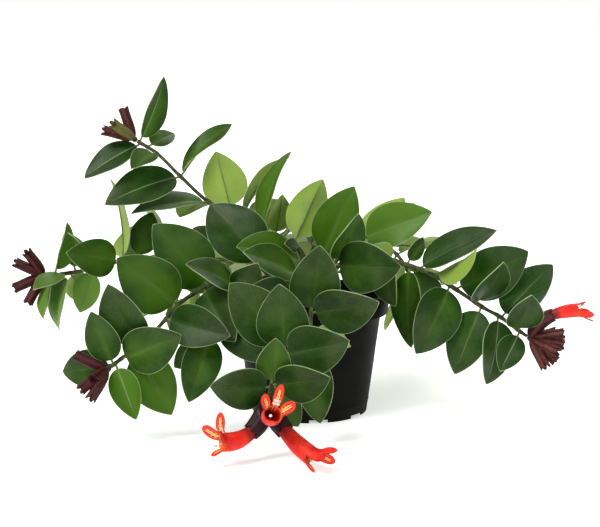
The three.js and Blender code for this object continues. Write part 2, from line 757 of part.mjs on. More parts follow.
/** A tubular calyx with five teeth round a cup that is open at its far end. */
function calyxGeometry(line, size, { curve = 0, girth = 1 } = {}) {
  const { sides, footRadius, shoulder, middle, floorRadius, toothSlope } = CALYX_FORM;
  const ring = (along, radius, tooth) => {
    const { centre, onwards, u, v } = line(along);
    return ringOf(centre, u, v, radius, sides, (i) => (i % 2 ? 0 : tooth), onwards);
  };
  const coarse = (points) => points.map((_, i) => points[i - (i % 2)]);
  const outer = size.radius * girth;
  const inner = outer - size.wall;
  const rim = size.length - size.tooth;
  const floor = size.length - size.cupDepth;
  const halfway = (rim + floor) / 2;
  return loft([
    coarse(ring(0, footRadius, 0)),
    ring(size.length * shoulder.along, outer * shoulder.radius, 0),
    ...(curve ? [ring(size.length * middle.along, outer * middle.radius, 0)] : []),
    ring(rim, outer, size.tooth),
    ring(rim, inner, size.tooth - toothSlope),
    ...(curve ? [ring(halfway, inner * (1 + floorRadius) / 2, 0)] : []),
    coarse(ring(floor, inner * floorRadius, 0)),
  ]);
}

/** A rounded lobe of the corolla, from the tube's mouth outwards. */
function lobeGeometry({ centre, onwards, lip }, throat, spread, { round, flare, width, length }) {
  const outwards = lip.clone().applyAxisAngle(onwards, radians(round));
  const side = outwards.clone().cross(onwards);
  const rim = sum(centre, [outwards, throat - COROLLA.wall / 2]);
  const angle = radians(flare * spread);
  const along = sum(new THREE.Vector3(),
    [onwards, Math.cos(angle)], [outwards, Math.sin(angle)]);
  const half = COROLLA.wall / 2;
  return loft(COROLLA.lobeRows.map(({ share, wide }) => {
    const heading = share < 0 ? onwards : along;
    const middle = sum(rim, [heading, share * length]);
    const thick = heading.clone().cross(side);
    const at = (s, t) => sum(middle, [side, s * wide * width / 2], [thick, t * half]);
    return [at(1, 1), at(-1, 1), at(-1, -1), at(1, -1)];
  }));
}

/** A two-lipped corolla, bent with its calyx, that stands in that calyx's cup. */
function corollaSolid(line, { length, spread, girth }) {
  const { length: calyxLength, cupDepth } = OPEN_CALYX;
  const { footRadius, collarRadius, throatRadius, mouthFlare, throatAt, wall } = COROLLA;
  const ringAt = (along, radius) => {
    const { centre, onwards, lip } = line(along);
    return ringOf(centre, lip, lip.clone().cross(onwards), radius * girth, COROLLA.sides).reverse();
  };
  const foot = calyxLength - cupDepth + COROLLA.gap;
  const end = calyxLength + length;
  const inner = throatRadius - wall;
  let corolla = solidOf(loft([
    ringAt(foot, footRadius),
    ringAt((foot + calyxLength) / 2, (footRadius + collarRadius) / 2),
    ringAt(calyxLength, collarRadius),
    ringAt(calyxLength + length * throatAt, throatRadius),
    ringAt(end, throatRadius + mouthFlare),
    ringAt(end, inner),
    ringAt(end - length * COROLLA.cupDepth, inner * COROLLA.cupNarrowing),
  ]));
  for (const lobe of COROLLA.lobes) {
    const sized = { ...lobe, width: lobe.width * girth, length: lobe.length * girth };
    const mouth = line(end);
    corolla = corolla.add(solidOf(lobeGeometry(mouth, throatRadius * girth, spread, sized)));
  }
  return corolla;
}

/** The calyces of a shoot's bunch on their short common stalk, and a corolla for each open one. */
function bunchSolids(curve, flowers) {
  const tip = curve.getPoint(1);
  const tangent = curve.getTangent(1);
  const [u, v] = crossAxes(tangent, UP);
  const knobStart = sum(tip, [tangent, BUNCH.gap]);
  const knob = (along, radius) =>
    ringOf(sum(knobStart, [tangent, along]), u, v, radius, BUNCH.knobSides);
  let calyces = solidOf(loft([
    knob(0, STEM.tipRadius),
    knob(BUNCH.knobLength * BUNCH.widestAt, BUNCH.knobRadius),
    knob(BUNCH.knobLength, BUNCH.knobRadius * BUNCH.endRadius),
  ]));
  const centre = sum(knobStart, [tangent, BUNCH.knobLength * BUNCH.flowersAt]);
  const corollas = [];
  for (const { aim, out, open } of flowers) {
    const line = flowerLine(centre, aimed(aim, out), open ?? {});
    const size = open ? OPEN_CALYX : CALYX;
    calyces = calyces.add(solidOf(calyxGeometry(line, size, open ?? {})));
    if (open) corollas.push(corollaSolid(line, open));
  }
  return { calyces, corollas };
}

// ---- Assembly -----------------------------------------------------------------------------

const plant = new THREE.Group();
function addNode(name, geometry, material) {
  const mesh = new THREE.Mesh(geometry, material);
  mesh.name = name;
  plant.add(mesh);
}

const potShape = potGeometry();
const soilShape = soilGeometry();
addNode('pot', potShape, COLOURS.pot);
addNode('soil', soilShape, COLOURS.soil);

const bodies = [body(solidOf(potShape), 'pot'), body(solidOf(soilShape), 'soil')];
const grown = SHOOTS.map((shoot, i) => {
  const curve = centreLine(shoot);
  const stem = solidOf(stemGeometry(curve));
  bodies.push(body(stem, shoot.name));
  if (shoot.bunch) {
    const { calyces, corollas } = bunchSolids(curve, shoot.bunch);
    addNode(`calyces_${shoot.name}`, geometryOf(calyces), COLOURS.calyx);
    bodies.push(body(calyces, `calyces_${shoot.name}`));
    corollas.forEach((corolla, k) => {
      const name = `corolla_${shoot.name}_${k + 1}`;
      addNode(name, geometryOf(corolla), COLOURS.corolla);
      bodies.push(body(corolla, name));
    });
  }
  return { shoot, curve, solid: stem, draw: seededDraws(100 + i) };
});

const turns = leafTurns();
for (const stated of [true, false]) {
  for (const plantShoot of grown) {
    const { shoot, curve, draw } = plantShoot;
    if (stated !== Boolean(shoot.leaves)) continue;
    const rows = stated ? shoot.leaves : pairedLeaves(curve, shoot.pairs, draw);
    for (const row of rows) {
      const pose = stated ? statedPose(row) : row;
      const form = leafForm(row, draw);
      const grownLeaf = growLeaf(row, pose, curve, shoot.name, form, bodies, turns);
      if (!grownLeaf) continue;
      bodies.push(grownLeaf);
      plantShoot.solid = plantShoot.solid.add(grownLeaf.solid);
    }
  }
}
for (const { shoot, solid } of grown) {
  addNode(`shoot_${shoot.name}`, geometryOf(solid), COLOURS.foliage);
}

export default plant;
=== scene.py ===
"""Looks of a potted lipstick plant: a trailing house plant in a plain nursery pot.

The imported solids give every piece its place. Leafy shoots, bunches, pot and soil are dressed with
finer pieces that keep their forms. Plant sizes are in millimetres, as in the solids, and become
metres where a mesh is written; materials are in metres, as Blender's own units.
"""

from __future__ import annotations

import logging
from collections.abc import Callable, Iterable, Sequence
from dataclasses import dataclass, field
from enum import Enum
from math import cos, degrees, exp, inf, pi, radians, sin, sqrt, tau

import bmesh
import bpy
import numpy as np
from mathutils import Matrix, Quaternion, Vector
from mathutils.kdtree import KDTree

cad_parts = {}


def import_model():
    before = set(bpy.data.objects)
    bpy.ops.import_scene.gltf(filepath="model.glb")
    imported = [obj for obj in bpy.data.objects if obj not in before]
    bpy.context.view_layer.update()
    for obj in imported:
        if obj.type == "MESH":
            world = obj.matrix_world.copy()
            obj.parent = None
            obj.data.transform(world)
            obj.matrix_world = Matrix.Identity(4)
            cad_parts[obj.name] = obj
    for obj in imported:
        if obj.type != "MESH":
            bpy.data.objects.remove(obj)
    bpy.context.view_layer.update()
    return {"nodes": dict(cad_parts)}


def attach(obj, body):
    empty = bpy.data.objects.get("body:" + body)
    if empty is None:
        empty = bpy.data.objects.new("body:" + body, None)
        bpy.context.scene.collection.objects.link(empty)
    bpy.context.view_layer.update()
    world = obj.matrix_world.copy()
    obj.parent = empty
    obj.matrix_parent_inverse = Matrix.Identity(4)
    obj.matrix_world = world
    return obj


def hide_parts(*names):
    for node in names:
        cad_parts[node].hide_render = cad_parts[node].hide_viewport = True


LOG = logging.getLogger("lipstick_plant")
MM = 0.001
BODY = "root"
FIRST_SEED = 100
UP = Vector((0.0, 0.0, 1.0))
FRONT = Vector((0.0, -1.0, 0.0))

Colour = tuple[float, float, float]
Span = tuple[float, float]
Place = tuple[float, float, float]
Piece = bpy.types.Object
Mesh = bpy.types.Mesh
Material = bpy.types.Material


class Slot(Enum):
    """Names of material slots that pieces are handed over with."""

    FOLIAGE = "foliage"
    CALYX = "calyx"
    COROLLA = "corolla"
    POT = "pot"
    SOIL = "soil"


class Kind(Enum):
    """What a stored value is, in the node trees' own words."""

    NUMBER = "FLOAT"
    ARROW = "FLOAT_VECTOR"


# Layout of the plant, in millimetres and degrees.


@dataclass(frozen=True)
class LeafRow:
    """A leaf at place `at` of its shoot's path, aimed in the front view and leaning out of it.

    Its tone goes from -1 for dark and waxy, with most bloom and painted sheen, through 1 for
    fresh green to 2 for lime, and its vein from 0 for a faint midrib to 1 for a pale, clear one.
    """

    at: float
    aim: float
    out: float
    roll: float
    size: float
    width_ratio: float | None = None
    bend: float | None = None
    fold: float | None = None
    twist: float | None = None
    tone: float | None = None
    vein: float = 0.0


@dataclass(frozen=True)
class PairRule:
    """Crossed pairs of leaves along a shoot, by rule."""

    start: float
    spacing: float
    size: float


@dataclass(frozen=True)
class Pose:
    """How a flower turns and bends, in degrees, with its tube's length outside its calyx.

    The calyx bends by `curve` over its length towards the side that `turn` gives, and the tube by
    `bend` over its own. `spread` scales the flare of the lobes, and `girth` the sizes across.
    """

    turn: float = 90.0
    curve: float = 0.0
    bend: float = 0.0
    length: float = 18.0
    spread: float = 0.8
    girth: float = 1.0
    twist: float = 0.0  # of the upper lobe, about its own length


@dataclass(frozen=True)
class Flower:
    """A calyx by its angle in the front view and its lean, with a pose where it is open.

    The hue is -0.5 for black, 0 for maroon, 0.5 for brown and 1 for a young, yellow-green calyx.
    """

    aim: float
    out: float
    open: Pose | None = None
    hue: float = 0.1


@dataclass(frozen=True)
class ShootRow:
    """A shoot: its hole in the soil, the points of its path, its leaves and its flowers."""

    name: str
    hole: Span
    path: tuple[Place, ...]
    leaves: tuple[LeafRow, ...] = ()
    pairs: PairRule | None = None
    flowers: tuple[Flower, ...] = ()


SHOOTS = (
    ShootRow(
        "upper_left", (-2, 7),
        ((-4, 7, 116), (-17, 8, 128), (-35, 12, 135), (-57, 16, 148), (-76, 18, 156),
         (-97, 20, 175), (-114, 20, 192), (-129, 18, 202)),
        (LeafRow(6.9, 70, -18, 48, 54, 0.46, fold=24, vein=1),
         LeafRow(6.8, 211, 14, 50, 50, 0.6, tone=-1, vein=1), LeafRow(6.5, 25, -50, -35, 31),
         LeafRow(6.1, 212, 60, 40, 36, fold=26),
         LeafRow(5, 45, -22, -95, 58, 0.4, twist=80, fold=20),
         LeafRow(5, 199, 21, 42, 62, 0.6, tone=-0.4, vein=0.7),
         LeafRow(4, 187, 18, 74, 60, 0.6, vein=0.8), LeafRow(4, 206, -40, 120, 44),
         LeafRow(3.1, 114, -14, 180, 47, 0.84), LeafRow(2.7, 60, -30, -112, 62, 0.4, bend=40),
         LeafRow(2.4, 30, -50, 170, 42),
         LeafRow(2, 70, -5, -60, 63, 0.42, fold=24, bend=36, tone=1),
         LeafRow(1.5, 100, -50, 170, 36)),
        flowers=(Flower(160, 12, hue=0.35), Flower(111, 0, hue=0.35), Flower(136, 38, hue=0.8))),
    ShootRow(
        "left", (-9, 18),
        ((-14, 20, 112), (-30, 23, 121), (-53, 25, 122), (-83, 22, 118), (-113, 15, 115),
         (-143, 8, 112), (-163, 5, 107), (-183, 0, 104), (-195, -5, 104)),
        (LeafRow(7.6, 76, -8, 60, 40, 0.6, fold=30, tone=1.6),
         LeafRow(6.6, 112, -20, 60, 38, 0.5, tone=0.6), LeafRow(5, 163, 36, 12, 46, tone=0.5),
         LeafRow(6.2, 112, 20, 90, 34, 0.3, bend=70, tone=1.9), LeafRow(4.9, 74, -55, 180, 42),
         LeafRow(4.6, 60, -30, 10, 40), LeafRow(4.9, 102, -18, 110, 62, 0.5),
         LeafRow(4, 123, -38, 110, 50), LeafRow(7, 205, 40, 70, 38, 0.5, tone=1.5),
         LeafRow(7.7, 260, 45, 50, 36, tone=1.7), LeafRow(7.1, 271, 35, 40, 46, twist=40, tone=1.7),
         LeafRow(6.8, 291, -40, 150, 38), LeafRow(5.9, 244, -20, 20, 38, tone=1.8)),
        flowers=(Flower(116, 25), Flower(153, 22), Flower(202, 22), Flower(237, 18))),
    ShootRow(
        "lower_left", (-13, -7),
        ((-17, -11, 108), (-35, -25, 115), (-52, -38, 111), (-72, -53, 104), (-89, -65, 96),
         (-101, -72, 84), (-115, -80, 70), (-131, -88, 59), (-138, -92, 54)),
        (LeafRow(3, 130, 8, 20, 60, 0.76, tone=0.1), LeafRow(1, 134, -25, 25, 62, 0.76, tone=-0.5),
         LeafRow(4.3, 137, 20, 10, 58, 0.76, tone=0.5),
         LeafRow(6.3, 110, 20, -10, 54, 0.68, tone=-0.4), LeafRow(5, -9, 26, -10, 52, tone=-0.5),
         LeafRow(7, 25, 16, 0, 49, 0.78, tone=0), LeafRow(7.7, 109, 14, 0, 43, 0.62, tone=-0.1),
         LeafRow(7.6, 192, -15, 0, 40, 0.8, tone=-0.2),
         LeafRow(7.5, -67, 20, 0, 42, 0.58, tone=1.3, vein=0.5),
         LeafRow(6.4, -62, 4, 0, 53, 0.72, tone=1.05), LeafRow(3.2, -52, 32, 0, 52, tone=-0.5),
         LeafRow(2, 200, -20, 60, 44)),
        flowers=(Flower(157, 8), Flower(190, 72), Flower(212, 32), Flower(243, 30))),
    ShootRow(
        "front_left", (-13, -18),
        ((-22, -28, 104), (-36, -44, 108), (-50, -60, 102), (-62, -72, 88), (-70, -80, 72)),
        (LeafRow(3.8, 251, 20, 0, 51, 0.6, tone=0), LeafRow(3, -77, 30, 0, 48, tone=-1.4),
         LeafRow(2, 170, 20, 50, 46), LeafRow(4, 215, 20, 30, 34), LeafRow(2, 60, 45, 0, 40))),
    ShootRow(
        "front", (-4, -17),
        ((-6, -28, 106), (-9, -50, 106), (-12, -72, 96), (-15, -90, 83), (-17, -105, 68),
         (-24, -118, 54), (-28, -130, 42)),
        (LeafRow(4, 94, 13, 0, 50, 0.8, tone=-0.2), LeafRow(4.1, 18, 28, -10, 52, 0.76, tone=-0.5),
         LeafRow(3.7, 131, 8, 10, 57, 0.72, tone=-0.2), LeafRow(5.4, 85, 14, 0, 35, 0.8, tone=0.5),
         LeafRow(5.5, 183, 24, 0, 44, 0.76, tone=-0.5),
         LeafRow(5.4, 25, 11, 0, 46, 0.74, tone=-0.4), LeafRow(5.3, -62, -12, 0, 38),
         LeafRow(0.3, 158, 32, 55, 50, tone=0.2), LeafRow(2, 165, 45, 20, 44),
         LeafRow(1, 30, 40, -30, 40)),
        flowers=(Flower(262, 8, Pose(150, 50, 42, length=20, spread=1, twist=50), hue=-0.5),
         Flower(272, 72, Pose(72, 22, 34, length=14, spread=0.7), hue=-0.4),
         Flower(-64, 32, Pose(57, 17, 13, length=25, spread=0.4, twist=50), hue=-0.5))),
    ShootRow(
        "front_right", (3, -11),
        ((4, -24, 104), (4, -45, 109), (3, -64, 102), (1, -80, 90), (1, -88, 76), (2, -92, 65)),
        (LeafRow(3, 83, 14, 0, 51, 0.78, tone=-0.3), LeafRow(3, 23, 18, -10, 54, 0.72, tone=-0.5),
         LeafRow(5, -84, 10, 15, 50, 0.62), LeafRow(4, -25, -35, 170, 38))),
    ShootRow(
        "crown_left", (-9, 1),
        ((-11, -1, 106), (-5, -8, 114), (-11, -4, 129)),
        (LeafRow(2, 65, -11, 180, 51), LeafRow(1, 155, 28, 62, 62, 0.6, tone=1.2),
         LeafRow(1.7, 165, 45, 30, 22))),
    ShootRow(
        "crown_right", (7, -4),
        ((7, -7, 108), (9, -13, 119), (14, -26, 123), (19, -38, 117)),
        (LeafRow(1.2, 66, 7, -15, 57, tone=1.2), LeafRow(2.8, 66, 23, 40, 45, tone=0.3),
         LeafRow(3, 15, 34, -5, 55, 0.76, tone=-0.3))),
    ShootRow(
        "crown_back", (12, 5),
        ((14, 5, 110), (26, 6, 123), (40, 10, 130), (58, 15, 131)),
        (LeafRow(2, 23, 18, -25, 58, tone=1.6), LeafRow(2.2, 40, -40, 150, 52),
         LeafRow(3, 60, -50, 150, 30), LeafRow(1, 30, -60, 150, 44))),
    ShootRow(
        "right", (17, -5),
        ((22, -6, 111), (45, -12, 120), (74, -20, 113), (91, -25, 107), (103, -28, 100),
         (126, -32, 85), (139, -34, 78), (150, -36, 70), (159, -38, 64)),
        (LeafRow(2.3, 27, 3, -64, 64, 0.6, tone=-0.6, vein=0.25),
         LeafRow(2, 258, 12, 55, 60, 0.6, tone=0), LeafRow(2.1, -85, -12, 0, 46),
         LeafRow(1.3, -74, 42, 40, 44), LeafRow(3, 51, 41, 110, 46, fold=28, tone=-0.6),
         LeafRow(4, 241, 21, 0, 57, tone=-0.3), LeafRow(4.2, 36, -5, 0, 60, 0.72, tone=-0.2),
         LeafRow(4.8, 66, 36, 35, 47, tone=-0.6), LeafRow(5, 248, 10, 15, 53, tone=-0.5, vein=0.25),
         LeafRow(5.9, 244, 4, -20, 51, tone=-0.5, vein=0.8),
         LeafRow(6.1, 42, -20, -28, 57, tone=-0.7, vein=0.2),
         LeafRow(7.3, 83, 42, 8, 43, tone=-0.6), LeafRow(7.4, 239, 25, 10, 34, tone=-0.8, vein=0.6),
         LeafRow(1.6, 178, 30, 150, 32), LeafRow(1.9, 50, -10, 20, 24)),
        flowers=(Flower(75, -3, Pose(180, 58, 14, length=17, spread=0.3, girth=0.8)),
         Flower(14, 14, hue=0.5), Flower(-8, 16, hue=0.5), Flower(-20, 40, hue=0.55),
         Flower(-40, 16, hue=0.5), Flower(-63, 32, hue=0.45), Flower(5, -35, hue=0.4),
         Flower(-35, -32, hue=0.5))),
    ShootRow(
        "back_left", (-16, 27),
        ((-24, 36, 110), (-36, 58, 118), (-52, 84, 112), (-64, 108, 94), (-72, 128, 68),
         (-76, 138, 44)),
        pairs=PairRule(0.5, 0.68, 50),
        flowers=(Flower(232, -32, Pose(90, 8, 40)), Flower(196, -50), Flower(280, -42))),
    ShootRow(
        "back", (-1, 26),
        ((2, 38, 112), (8, 60, 119), (14, 88, 110), (20, 112, 88), (24, 128, 60)),
        pairs=PairRule(0.4, 0.66, 52)),
    ShootRow(
        "back_right", (14, 19),
        ((22, 28, 110), (42, 48, 120), (62, 70, 114), (78, 92, 96), (88, 108, 70), (92, 118, 46)),
        pairs=PairRule(0.5, 0.68, 50),
        flowers=(Flower(-60, -30), Flower(-40, -72, Pose(90, 10, 35)), Flower(250, -35))),
    ShootRow(
        "left_low", (-25, 9),
        ((-38, 22, 106), (-60, 42, 108), (-84, 62, 98), (-104, 80, 78), (-116, 92, 54)),
        pairs=PairRule(0.7, 0.7, 48)),
)


# Small helpers.


class SeededDraws:
    """Draws from -1 to 1, the same on every run."""

    def __init__(self, seed: int) -> None:
        """Start the draws at a seed."""
        self.state = seed

    def __call__(self) -> float:
        """Return the next draw."""
        self.state = (self.state * 1664525 + 1013904223) & 0xFFFFFFFF
        return self.state / 2147483648 - 1


def turn_about(vector: Vector, axis: Vector, angle: float) -> Vector:
    """Return a vector turned right-handed about an axis by an angle in degrees."""
    return Quaternion(axis, radians(angle)) @ vector


def across(direction: Vector, hint: Vector) -> Vector:
    """Return the unit vector across a direction that is nearest to a hint."""
    return (hint - direction * hint.dot(direction)).normalized()


def aimed(aim: float, out: float) -> Vector:
    """Return a direction from its angle in the front view and its lean towards the front."""
    flat = cos(radians(out))
    return Vector((
        cos(radians(aim)) * flat,
        -sin(radians(out)),
        sin(radians(aim)) * flat,
    ))


def upright_across(direction: Vector) -> Vector:
    """Return the unit vector across a direction that points most upwards."""
    return across(direction, FRONT if abs(direction.z) > 0.9 else UP)


def link(name: str, data: bpy.types.ID, *coats: Material) -> Piece:
    """Return a new object of the scene.

    Args:
        name: the object's name.
        data: its mesh, lamp or camera.
        *coats: the materials of a mesh.

    Returns:
        The object, in the scene.
    """
    for coat in coats:
        data.materials.append(coat)
    piece = bpy.data.objects.new(name, data)
    bpy.context.scene.collection.objects.link(piece)
    return piece


def mesh_of(name: str, points: Sequence[Vector], faces: Sequence[Sequence[int]] = (),
            edges: Sequence[Sequence[int]] = ()) -> Mesh:
    """Return a mesh from points in millimetres, with its faces or loose edges."""
    mesh = bpy.data.meshes.new(name)
    mesh.from_pydata([tuple(point * MM) for point in points], edges, faces)
    mesh.validate()
    return mesh


def mesh_from(shape: bmesh.types.BMesh, name: str) -> Mesh:
    """Return a mesh of what bmesh tools made, and free their working copy."""
    mesh = bpy.data.meshes.new(name)
    shape.to_mesh(mesh)
    shape.free()
    return mesh


def set_values(mesh: Mesh, name: str, values: Iterable[float | Vector]) -> None:
    """Store one number or vector for each vertex.

    Args:
        mesh: to store them in.
        name: that the node trees and materials read.
        values: in the order of the vertices.
    """
    values = list(values)
    arrows = isinstance(values[0], Vector)
    layer = mesh.attributes.new(name, (Kind.ARROW if arrows else Kind.NUMBER).value, "POINT")
    flat = np.array([tuple(value) if arrows else value for value in values], dtype=np.float32)
    layer.data.foreach_set("vector" if arrows else "value", flat.ravel())


def thread_mesh(name: str, points: Sequence[Vector], edges: Sequence[tuple[int, int]],
                girths: Sequence[float], tones: Sequence[float]) -> Mesh:
    """Return lines for a tube to follow.

    Args:
        name: the mesh's name.
        points: in millimetres.
        edges: pairs of their numbers.
        girths: the tube's radius at each point, in millimetres.
        tones: what its finish reads at each point.

    Returns:
        The lines, with their girth and tone stored.
    """
    mesh = mesh_of(name, points, edges=edges)
    set_values(mesh, "girth", [girth * MM for girth in girths])
    set_values(mesh, "tone", tones)
    return mesh


def settle(piece: Piece) -> None:
    """Turn what a piece's modifiers make into its plain mesh, and remove them."""
    graph = bpy.context.evaluated_depsgraph_get()
    mesh = bpy.data.meshes.new_from_object(piece.evaluated_get(graph), depsgraph=graph)
    raw = piece.data
    piece.modifiers.clear()
    piece.data = mesh
    mesh.name = piece.name
    bpy.data.meshes.remove(raw)


def soften(piece: Piece, sharp_angle: float = 180.0) -> None:
    """Shade a piece smooth, apart from edges over an angle in degrees."""
    piece.data.shade_smooth()
    if sharp_angle < 180.0:
        piece.data.set_sharp_from_angle(angle=radians(sharp_angle))


def fuse_doubles(mesh: Mesh, distance: float) -> None:
    """Merge vertices that lie closer than a distance in millimetres."""
    shape = bmesh.new()
    shape.from_mesh(mesh)
    bmesh.ops.remove_doubles(shape, verts=shape.verts, dist=distance * MM)
    shape.to_mesh(mesh)
    shape.free()


def hand_over(piece: Piece, finish: Slot, nodes: Sequence[str] = ()) -> None:
    """Give a piece to the frame.

    Args:
        piece: a finished piece.
        finish: not used.
        nodes: the solids that it stands for.
    """
    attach(piece, BODY)
    if nodes:
        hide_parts(*nodes)
    triangles = sum(len(face.vertices) - 2 for face in piece.data.polygons)
    LOG.info("%s: %d triangles, for %s", piece.name, triangles, ", ".join(nodes) or "no solid")


# Formulas in node trees.


class Field:
    """An output in a node tree, to write formulas with."""

    def __init__(self, formula: Formula, socket: bpy.types.NodeSocket) -> None:
        """Wrap an output socket of a formula's tree."""
        self.formula = formula
        self.socket = socket

    def __add__(self, other: Entry) -> Field:
        """Return the sum."""
        return self.formula.combine("ADD", self, other)

    __radd__ = __add__

    def __sub__(self, other: Entry) -> Field:
        """Return the difference."""
        return self.formula.combine("SUBTRACT", self, other)

    def __rsub__(self, other: Entry) -> Field:
        """Return another entry less this one."""
        return self.formula.combine("SUBTRACT", other, self)

    def __mul__(self, other: Entry) -> Field:
        """Return the product."""
        return self.formula.combine("MULTIPLY", self, other)

    __rmul__ = __mul__

    def __truediv__(self, other: Entry) -> Field:
        """Return the quotient."""
        return self.formula.combine("DIVIDE", self, other)

    def __pow__(self, other: Entry) -> Field:
        """Return the power."""
        return self.formula.math("POWER", self, other)

    def sine(self) -> Field:
        """Return the sine."""
        return self.formula.math("SINE", self)

    def cosine(self) -> Field:
        """Return the cosine."""
        return self.formula.math("COSINE", self)

    def size(self) -> Field:
        """Return the absolute value."""
        return self.formula.math("ABSOLUTE", self)

    def cross(self, other: Field) -> Field:
        """Return the cross product."""
        return self.formula.vector("CROSS_PRODUCT", self, other)

    def parts(self) -> tuple[Field, Field, Field]:
        """Return the three components of a vector."""
        node = self.formula.add("ShaderNodeSeparateXYZ", {0: self})
        x, y, z = (Field(self.formula, output) for output in node.outputs)
        return x, y, z


Entry = Field | float | int | bool | str | tuple[float, ...] | Material
Entries = dict[str | int, Entry]


class Formula:
    """A node tree that is written in short formulas."""

    def __init__(self, tree: bpy.types.NodeTree) -> None:
        """Write in a node tree."""
        self.tree = tree

    def add(self, kind: str, entries: Entries | None = None, **settings: object) -> bpy.types.Node:
        """Add a node.

        Args:
            kind: the node's type.
            entries: what its inputs take, by name or number.
            **settings: its other properties.

        Returns:
            The node.
        """
        node = self.tree.nodes.new(kind)
        for name, value in settings.items():
            setattr(node, name, value)
        for key, value in (entries or {}).items():
            if isinstance(value, Field):
                self.tree.links.new(value.socket, node.inputs[key])
            else:
                node.inputs[key].default_value = value
        return node

    def take(self, kind: str, entries: Entries | None = None, output: str | int = 0,
             **settings: object) -> Field:
        """Add a node and return one of its outputs as a field."""
        return Field(self, self.add(kind, entries, **settings).outputs[output])

    def math(self, operation: str, *values: Entry) -> Field:
        """Return what a Math node makes of its values."""
        return self.take("ShaderNodeMath", dict(enumerate(values)), operation=operation)

    def vector(self, operation: str, *values: Entry) -> Field:
        """Return what a Vector Math node makes of its values."""
        return self.take("ShaderNodeVectorMath", dict(enumerate(values)), operation=operation)

    def combine(self, operation: str, first: Entry, second: Entry) -> Field:
        """Return a sum, difference or product of numbers and vectors, whichever they are."""
        kinds = [isinstance(entry, Field) and entry.socket.type == "VECTOR" or
                 isinstance(entry, tuple) for entry in (first, second)]
        if not any(kinds):
            return self.math(operation, first, second)
        if all(kinds):
            return self.vector(operation, first, second)
        arrow, number = (first, second) if kinds[0] else (second, first)
        return self.take("ShaderNodeVectorMath", {0: arrow, "Scale": number}, operation="SCALE")

    def ramp(self, value: Entry, low: float, high: float, start: Entry = 0.0,
             end: Entry = 1.0) -> Field:
        """Return a smooth step from start to end as a value goes from low to high."""
        entries = {0: value, 1: low, 2: high, 3: start, 4: end}
        return self.take("ShaderNodeMapRange", entries, interpolation_type="SMOOTHSTEP")

    def fade(self, value: Entry, low: float, high: float, start: float = 1.0) -> Field:
        """Return a smooth step down to 0 as a value goes from low to high."""
        return self.ramp(value, low, high, start, 0.0)

    def greater(self, first: Entry, second: Entry) -> Field:
        """Return the greater of two numbers."""
        return self.math("MAXIMUM", first, second)

    def join(self, x: Entry, y: Entry, z: Entry) -> Field:
        """Return a vector from its components."""
        return self.take("ShaderNodeCombineXYZ", {0: x, 1: y, 2: z})

    def noise(self, place: Field, scale: float, detail: float = 2.0,
              roughness: float = 0.5) -> Field:
        """Return noise from 0 to 1 at a place, with its scale in cells a metre."""
        entries = {"Vector": place, "Scale": scale, "Detail": detail, "Roughness": roughness}
        return self.take("ShaderNodeTexNoise", entries)


class Shaper(Formula):
    """A Geometry Nodes tree with named inputs for its sizes."""

    KEPT = {"surface_place", "tone", "vein", "position", "sharp_face", "sharp_edge",
            "material_index"}  # values that a piece keeps from its tree

    def __init__(self, name: str) -> None:
        """Start a tree with a geometry in and a geometry out."""
        super().__init__(bpy.data.node_groups.new(name, "GeometryNodeTree"))
        for way in ("INPUT", "OUTPUT"):
            self.tree.interface.new_socket(
                "Geometry", in_out=way, socket_type="NodeSocketGeometry")
        self.given = self.tree.nodes.new("NodeGroupInput")
        self.result = self.tree.nodes.new("NodeGroupOutput")
        self.identifiers: dict[str, str] = {}

    @property
    def geometry(self) -> Field:
        """The geometry that the tree is given."""
        return Field(self, self.given.outputs["Geometry"])

    def ask(self, name: str, kind: str = "Float") -> Field:
        """Return a named input of the tree: Float, Int, Material or another socket kind."""
        item = self.tree.interface.new_socket(
            name, in_out="INPUT", socket_type=f"NodeSocket{kind}")
        self.identifiers[name] = item.identifier
        return Field(self, self.given.outputs[name])

    def named(self, name: str, kind: Kind = Kind.NUMBER) -> Field:
        """Return a stored value by its name."""
        return self.take("GeometryNodeInputNamedAttribute", {"Name": name}, data_type=kind.value)

    def store(self, geometry: Field, name: str, value: Field, kind: Kind = Kind.NUMBER) -> Field:
        """Return the geometry with a value stored under a name on its points."""
        entries = {"Geometry": geometry, "Name": name, "Value": value}
        return self.take("GeometryNodeStoreNamedAttribute", entries, data_type=kind.value,
                         domain="POINT")

    def moved(self, geometry: Field, place: Field) -> Field:
        """Return the geometry with its points at new places."""
        return self.take("GeometryNodeSetPosition", {"Geometry": geometry, "Position": place})

    def spread(self, shape: Field) -> Field:
        """Return copies of a shape at the given points, as real geometry with their values."""
        entries = {"Points": self.geometry, "Instance": shape}
        copies = self.take("GeometryNodeInstanceOnPoints", entries)
        return self.take("GeometryNodeRealizeInstances", {"Geometry": copies})

    def finish(self, geometry: Field, finish: Field) -> None:
        """End the tree with real geometry in a material."""
        real = self.take("GeometryNodeRealizeInstances", {"Geometry": geometry})
        dressed = self.take("GeometryNodeSetMaterial", {"Geometry": real, "Material": finish})
        self.tree.links.new(dressed.socket, self.result.inputs["Geometry"])

    def shape(self, name: str, mesh: Mesh, inputs: dict[str, Entry]) -> Piece:
        """Return a new piece that the tree makes of a mesh.

        Args:
            name: the piece's name.
            mesh: what the tree is given.
            inputs: values of the tree's named inputs.

        Returns:
            The piece, as a plain mesh without the values that only the tree uses.
        """
        piece = link(name, mesh)
        modifier = piece.modifiers.new(self.tree.name, "NODES")
        modifier.node_group = self.tree
        for label, value in inputs.items():
            modifier[self.identifiers[label]] = value
        settle(piece)
        for layer in [a.name for a in piece.data.attributes if a.name not in self.KEPT]:
            if not layer.startswith(".") and not piece.data.attributes[layer].is_required:
                piece.data.attributes.remove(piece.data.attributes[layer])
        return piece


